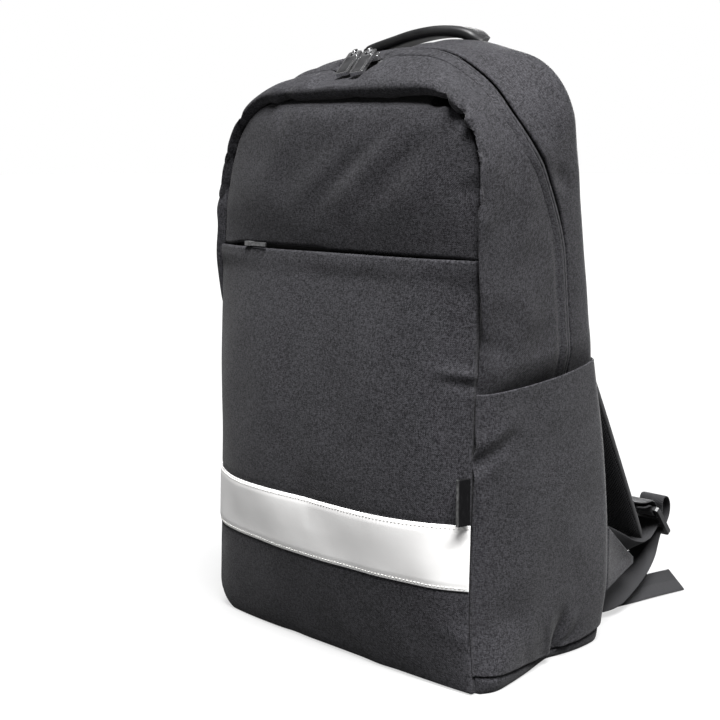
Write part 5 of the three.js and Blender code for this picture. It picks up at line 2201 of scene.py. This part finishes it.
@dataclass
class ShoulderHarness:
    """Padded shoulder straps with bound edges, their locks, tabs, webbing and cloth wings."""

    wardrobe: Wardrobe
    strap_thick: float = 11.0
    strap_rows: int = 170
    strap_columns: int = 56
    strap_power: float = 0.8
    strap_round: float = 5.0
    strap_end: float = 0.93
    binding_turn: Pair = (-0.25, 0.9)
    binding_proud: float = 0.75
    binding_cloth: float = 1.0
    web_width: float = 25.0
    web_thick: float = 1.6
    wing_cloth: float = 2.4
    wing_slack: float = 1.6
    lock_edge: float = 0.7
    strap: tuple[tuple[float, float, float, float], ...] = (
        (55, 47, 460, 62), (57, 54.5, 425, 64), (62, 63.5, 375, 64), (70, 75.5, 310, 62),
        (80, 99, 236, 58), (88, 126, 171, 54), (93, 151.5, 115, 50), (95.4, 179.2, 59.5, 46),
    )
    tab: tuple[Point, ...] = (
        (96, 173.5, 93.5), (96, 184, 89.8), (96, 198, 87), (96, 210.5, 86.2), (96, 215.5, 81.3),
        (96, 217.8, 76.7), (96, 215.8, 73.9), (96, 212.6, 72.6), (96, 208.8, 76), (96, 206.9, 82.1),
        (96, 197, 82.6), (96, 186, 85.2),
    )
    webbing: tuple[tuple[float, float, float, float], ...] = (
        (123.5, 113, 73, 82), (117, 139, 61.5, 66), (113, 160, 53, 47), (107, 180, 50, 28),
        (100.5, 196, 51, 12), (97, 207, 53.5, 3), (96, 218, 61.4, 0), (96, 222, 66, 0), (96, 225, 70.3, 0),
        (96, 225.8, 76.6, 0), (96, 225.5, 82.7, 0), (96, 228.1, 86.6, 0), (96, 233.7, 85.9, 0),
        (96, 237.5, 79.4, 0), (96, 237.1, 70.2, 0), (96, 232.6, 62.1, 0), (96, 228.2, 58.1, 0),
        (96, 223.9, 53.8, 0), (97, 214, 39, -10), (103, 191.8, 28.6, -24), (108, 164.6, 19.9, -33),
        (112, 139.4, 15.2, -36), (110, 127, 14, -36), (106, 124.5, 13.8, -36), (103, 133, 11.5, -36),
        (103.5, 165, 8.6, -35), (109, 203, 8.3, -34), (116, 240, 8.2, -34),
    )
    wing: tuple[Point, ...] = (
        (134.5, 99.5, 34), (134, 100, 90), (118, 163, 47), (118, 163, 41),
    )

    def build(self) -> None:
        """Makes both sides, the left one mirrored."""
        for side in Side:
            self.pad(side)
            self.bands(side)
            self.anchor(side)
            name = f"ladder_lock_{side.label}"
            lock = bevelled_copy(name, f"lock_{side.label}", self.lock_edge, self.wardrobe.plastic)
            publish(lock, Slot.PLASTIC, name)

    @staticmethod
    def own(side: Side, rows: Sequence[Sequence[float]]) -> list[tuple[float, ...]]:
        """Rows of a route for a side."""
        return [(side.value * row[0], *row[1:3]) for row in rows]

    def pad(self, side: Side) -> None:
        """The strap: mesh towards the bag, cloth outside, and a binding round each edge.

        Args:
            side: The side of the bag.
        """
        frames, places = route_frames(self.own(side, self.strap), self.strap_rows)
        half = Curve([(k, row[3] / 2) for k, row in enumerate(self.strap)])(places)
        row = np.arange(self.strap_rows)
        near = np.clip(np.minimum(row, row[::-1]) / self.strap_round, 0, 1)
        ends = np.sqrt(np.clip(1 - (1 - near) ** 2, 0.05, 1))
        drawn_in = np.stack([mix(self.strap_end, 1.0, ends), ends], axis=-1)[:, None]
        count = self.strap_columns
        outline = rounded_outline(half, self.strap_thick, count, self.strap_power) * drawn_in
        parts = tube_parts(frames.swept(outline))
        outside = (np.arange(len(parts.quads)) % count < count // 2).astype(int)
        name = f"shoulder_strap_{side.label}"
        finishes = (self.wardrobe.mesh, self.wardrobe.shell)
        dressed(name, parts, Slot.MESH, *finishes, fill=0.7, index=outside, sharp=70.0)
        trim = []
        for edge in (0.0, np.pi):
            turn = edge + math.cos(edge) * np.linspace(*self.binding_turn, 13)
            line = rounded_points(turn, half, self.strap_thick, self.strap_power) * drawn_in
            grid = Grid(frames.swept(line))
            centre = frames.origin[:, None]
            facing = np.sign(((grid.points - centre) * grid.normals()).sum(axis=-1)).mean()
            if facing < 0:
                grid = Grid(grid.points[:, ::-1])
            trim.append(shell_parts(grid.raised(self.binding_proud), self.binding_cloth, 0.4))
        binding = make_object(f"strap_binding_{side.label}", joined_parts(trim), self.wardrobe.zip_tape)
        publish(binding, Slot.MESH)

    def bands(self, side: Side) -> None:
        """The webbing through the lock and the tab that holds the lock."""
        for kind, rows, count in (("lock_tab", self.tab, 120), ("adjuster_webbing", self.webbing, 420)):
            roll = [side.value * row[3] if len(row) > 3 else 0.0 for row in rows]
            frames, _ = route_frames(self.own(side, rows), count, roll)
            outline = rounded_outline(self.web_width / 2, self.web_thick, 32, 0.12)
            parts = tube_parts(frames.swept(outline))
            dressed(f"{kind}_{side.label}", parts, Slot.WEBBING, self.wardrobe.webbing)

    def anchor(self, side: Side) -> None:
        """The cloth wing between the bag's foot and the webbing: a four-cornered patch, slightly slack.

        Args:
            side: The side of the bag.
        """
        a, b, c, d = (np.array([side.value * p[0], p[1], p[2]], float) for p in self.wing)
        u, v = np.meshgrid(np.linspace(0, 1, 40), np.linspace(0, 1, 48))
        low, high = mix(a, d, u[..., None]), mix(b, c, u[..., None])
        patch = mix(low, high, v[..., None])
        grid = Grid(patch if side is Side.LEFT else patch[:, ::-1])
        slack = self.wing_slack * np.sin(np.pi * u) * np.sin(np.pi * v)
        name = f"anchor_wing_{side.label}"
        parts = shell_parts(grid.raised(slack), self.wing_cloth, 1.2)
        dressed(name, parts, Slot.SHELL, self.wardrobe.shell, fill=0.2)


@dataclass(frozen=True)
class SoftLamp:
    """One broad soft lamp, far off: turn from the bag's front, height and width are angles in degrees."""

    name: str
    turn: float
    height: float
    width: float
    power: float

    def build(self) -> None:
        """Adds the lamp."""
        lamp = bpy.data.lights.new(self.name, "SUN")
        lamp.angle = math.radians(self.width)
        lamp.energy = self.power
        ahead = -towards(self.turn, self.height)
        linked(self.name, lamp).rotation_euler = ahead.to_track_quat("-Z", "Y").to_euler()


def towards(turn: float, height: float) -> Vector:
    """Direction from the bag at a turn from its front and a height, both in degrees."""
    a, e = math.radians(turn), math.radians(height)
    return Vector((math.sin(a) * math.cos(e), -math.cos(a) * math.cos(e), math.sin(e)))


@dataclass
class Studio:
    """Floor, soft light and the camera at the photograph's angle."""

    camera_place: Point = (0.76425, -0.80812, 0.39157)
    camera_turn: float = 45.45
    camera_tilt: float = 8.47
    camera_angle: float = 30.04
    sky: float = 0.1
    floor_reach: float = 30.0
    lamps: tuple[SoftLamp, ...] = (
        SoftLamp("key", 58.0, 68.0, 34.0, 17.0),
        SoftLamp("fill", 205.0, 10.0, 30.0, 4.5),
    )

    def build(self) -> None:
        """Adds the camera, the lamps, the sky and the floor."""
        scene = bpy.context.scene
        ahead = -towards(self.camera_turn, self.camera_tilt)
        lens = bpy.data.cameras.new("camera")
        lens.angle = math.radians(self.camera_angle)
        camera = linked("camera", lens)
        camera.location = self.camera_place
        camera.rotation_euler = ahead.to_track_quat("-Z", "Y").to_euler()
        scene.camera = camera
        for lamp in self.lamps:
            lamp.build()
        scene.world = self.backdrop()
        scene.view_settings.view_transform = "Standard"
        corner = self.floor_reach / MM
        line = np.linspace(-corner, corner, 9)
        x, y = np.meshgrid(line, line)
        grid = Grid(stack(x, y, 0.0 * x))
        quads = grid_quads(len(line), len(line))
        parts = MeshParts(grid.points.reshape(-1, 3), quads, grid.cloth.reshape(-1, 2)[quads])
        floor = make_object("floor", parts, PaleFloor("pale_floor").make())
        floor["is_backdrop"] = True

    def backdrop(self) -> bpy.types.World:
        """White behind the bag, and a dimmer even light from all round.

        Returns:
            The world.
        """
        world = bpy.data.worlds.new("studio")
        world.use_nodes = True
        tree = world.node_tree
        seen = tree.nodes.new("ShaderNodeLightPath").outputs["Is Camera Ray"]
        level = tree.nodes.new("ShaderNodeMapRange")
        level.inputs["To Min"].default_value = self.sky
        level.inputs["To Max"].default_value = 1.0
        sky = tree.nodes["Background"]
        sky.inputs["Color"].default_value = (1.0, 1.0, 1.0, 1.0)
        tree.links.new(seen, level.inputs["Value"])
        tree.links.new(level.outputs["Result"], sky.inputs["Strength"])
        return world


def main() -> None:
    """Loads the frame, builds the sub-assemblies in order and measures the sizes."""
    logging.basicConfig(level=logging.INFO, format="%(name)s: %(message)s")
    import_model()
    cad_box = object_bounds()
    Studio().build()
    wardrobe = Wardrobe()
    for assembly in (FrontPanels, Gusset, ZipHardware, SidePockets, BaseAndBack, GrabHandle, ShoulderHarness):
        assembly(wardrobe).build()
    boxes = {"cad": cad_box, "visual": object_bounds()}
    {name: [list(corner) for corner in box] for name, box in boxes.items()}


if __name__ == "__main__":
    main()
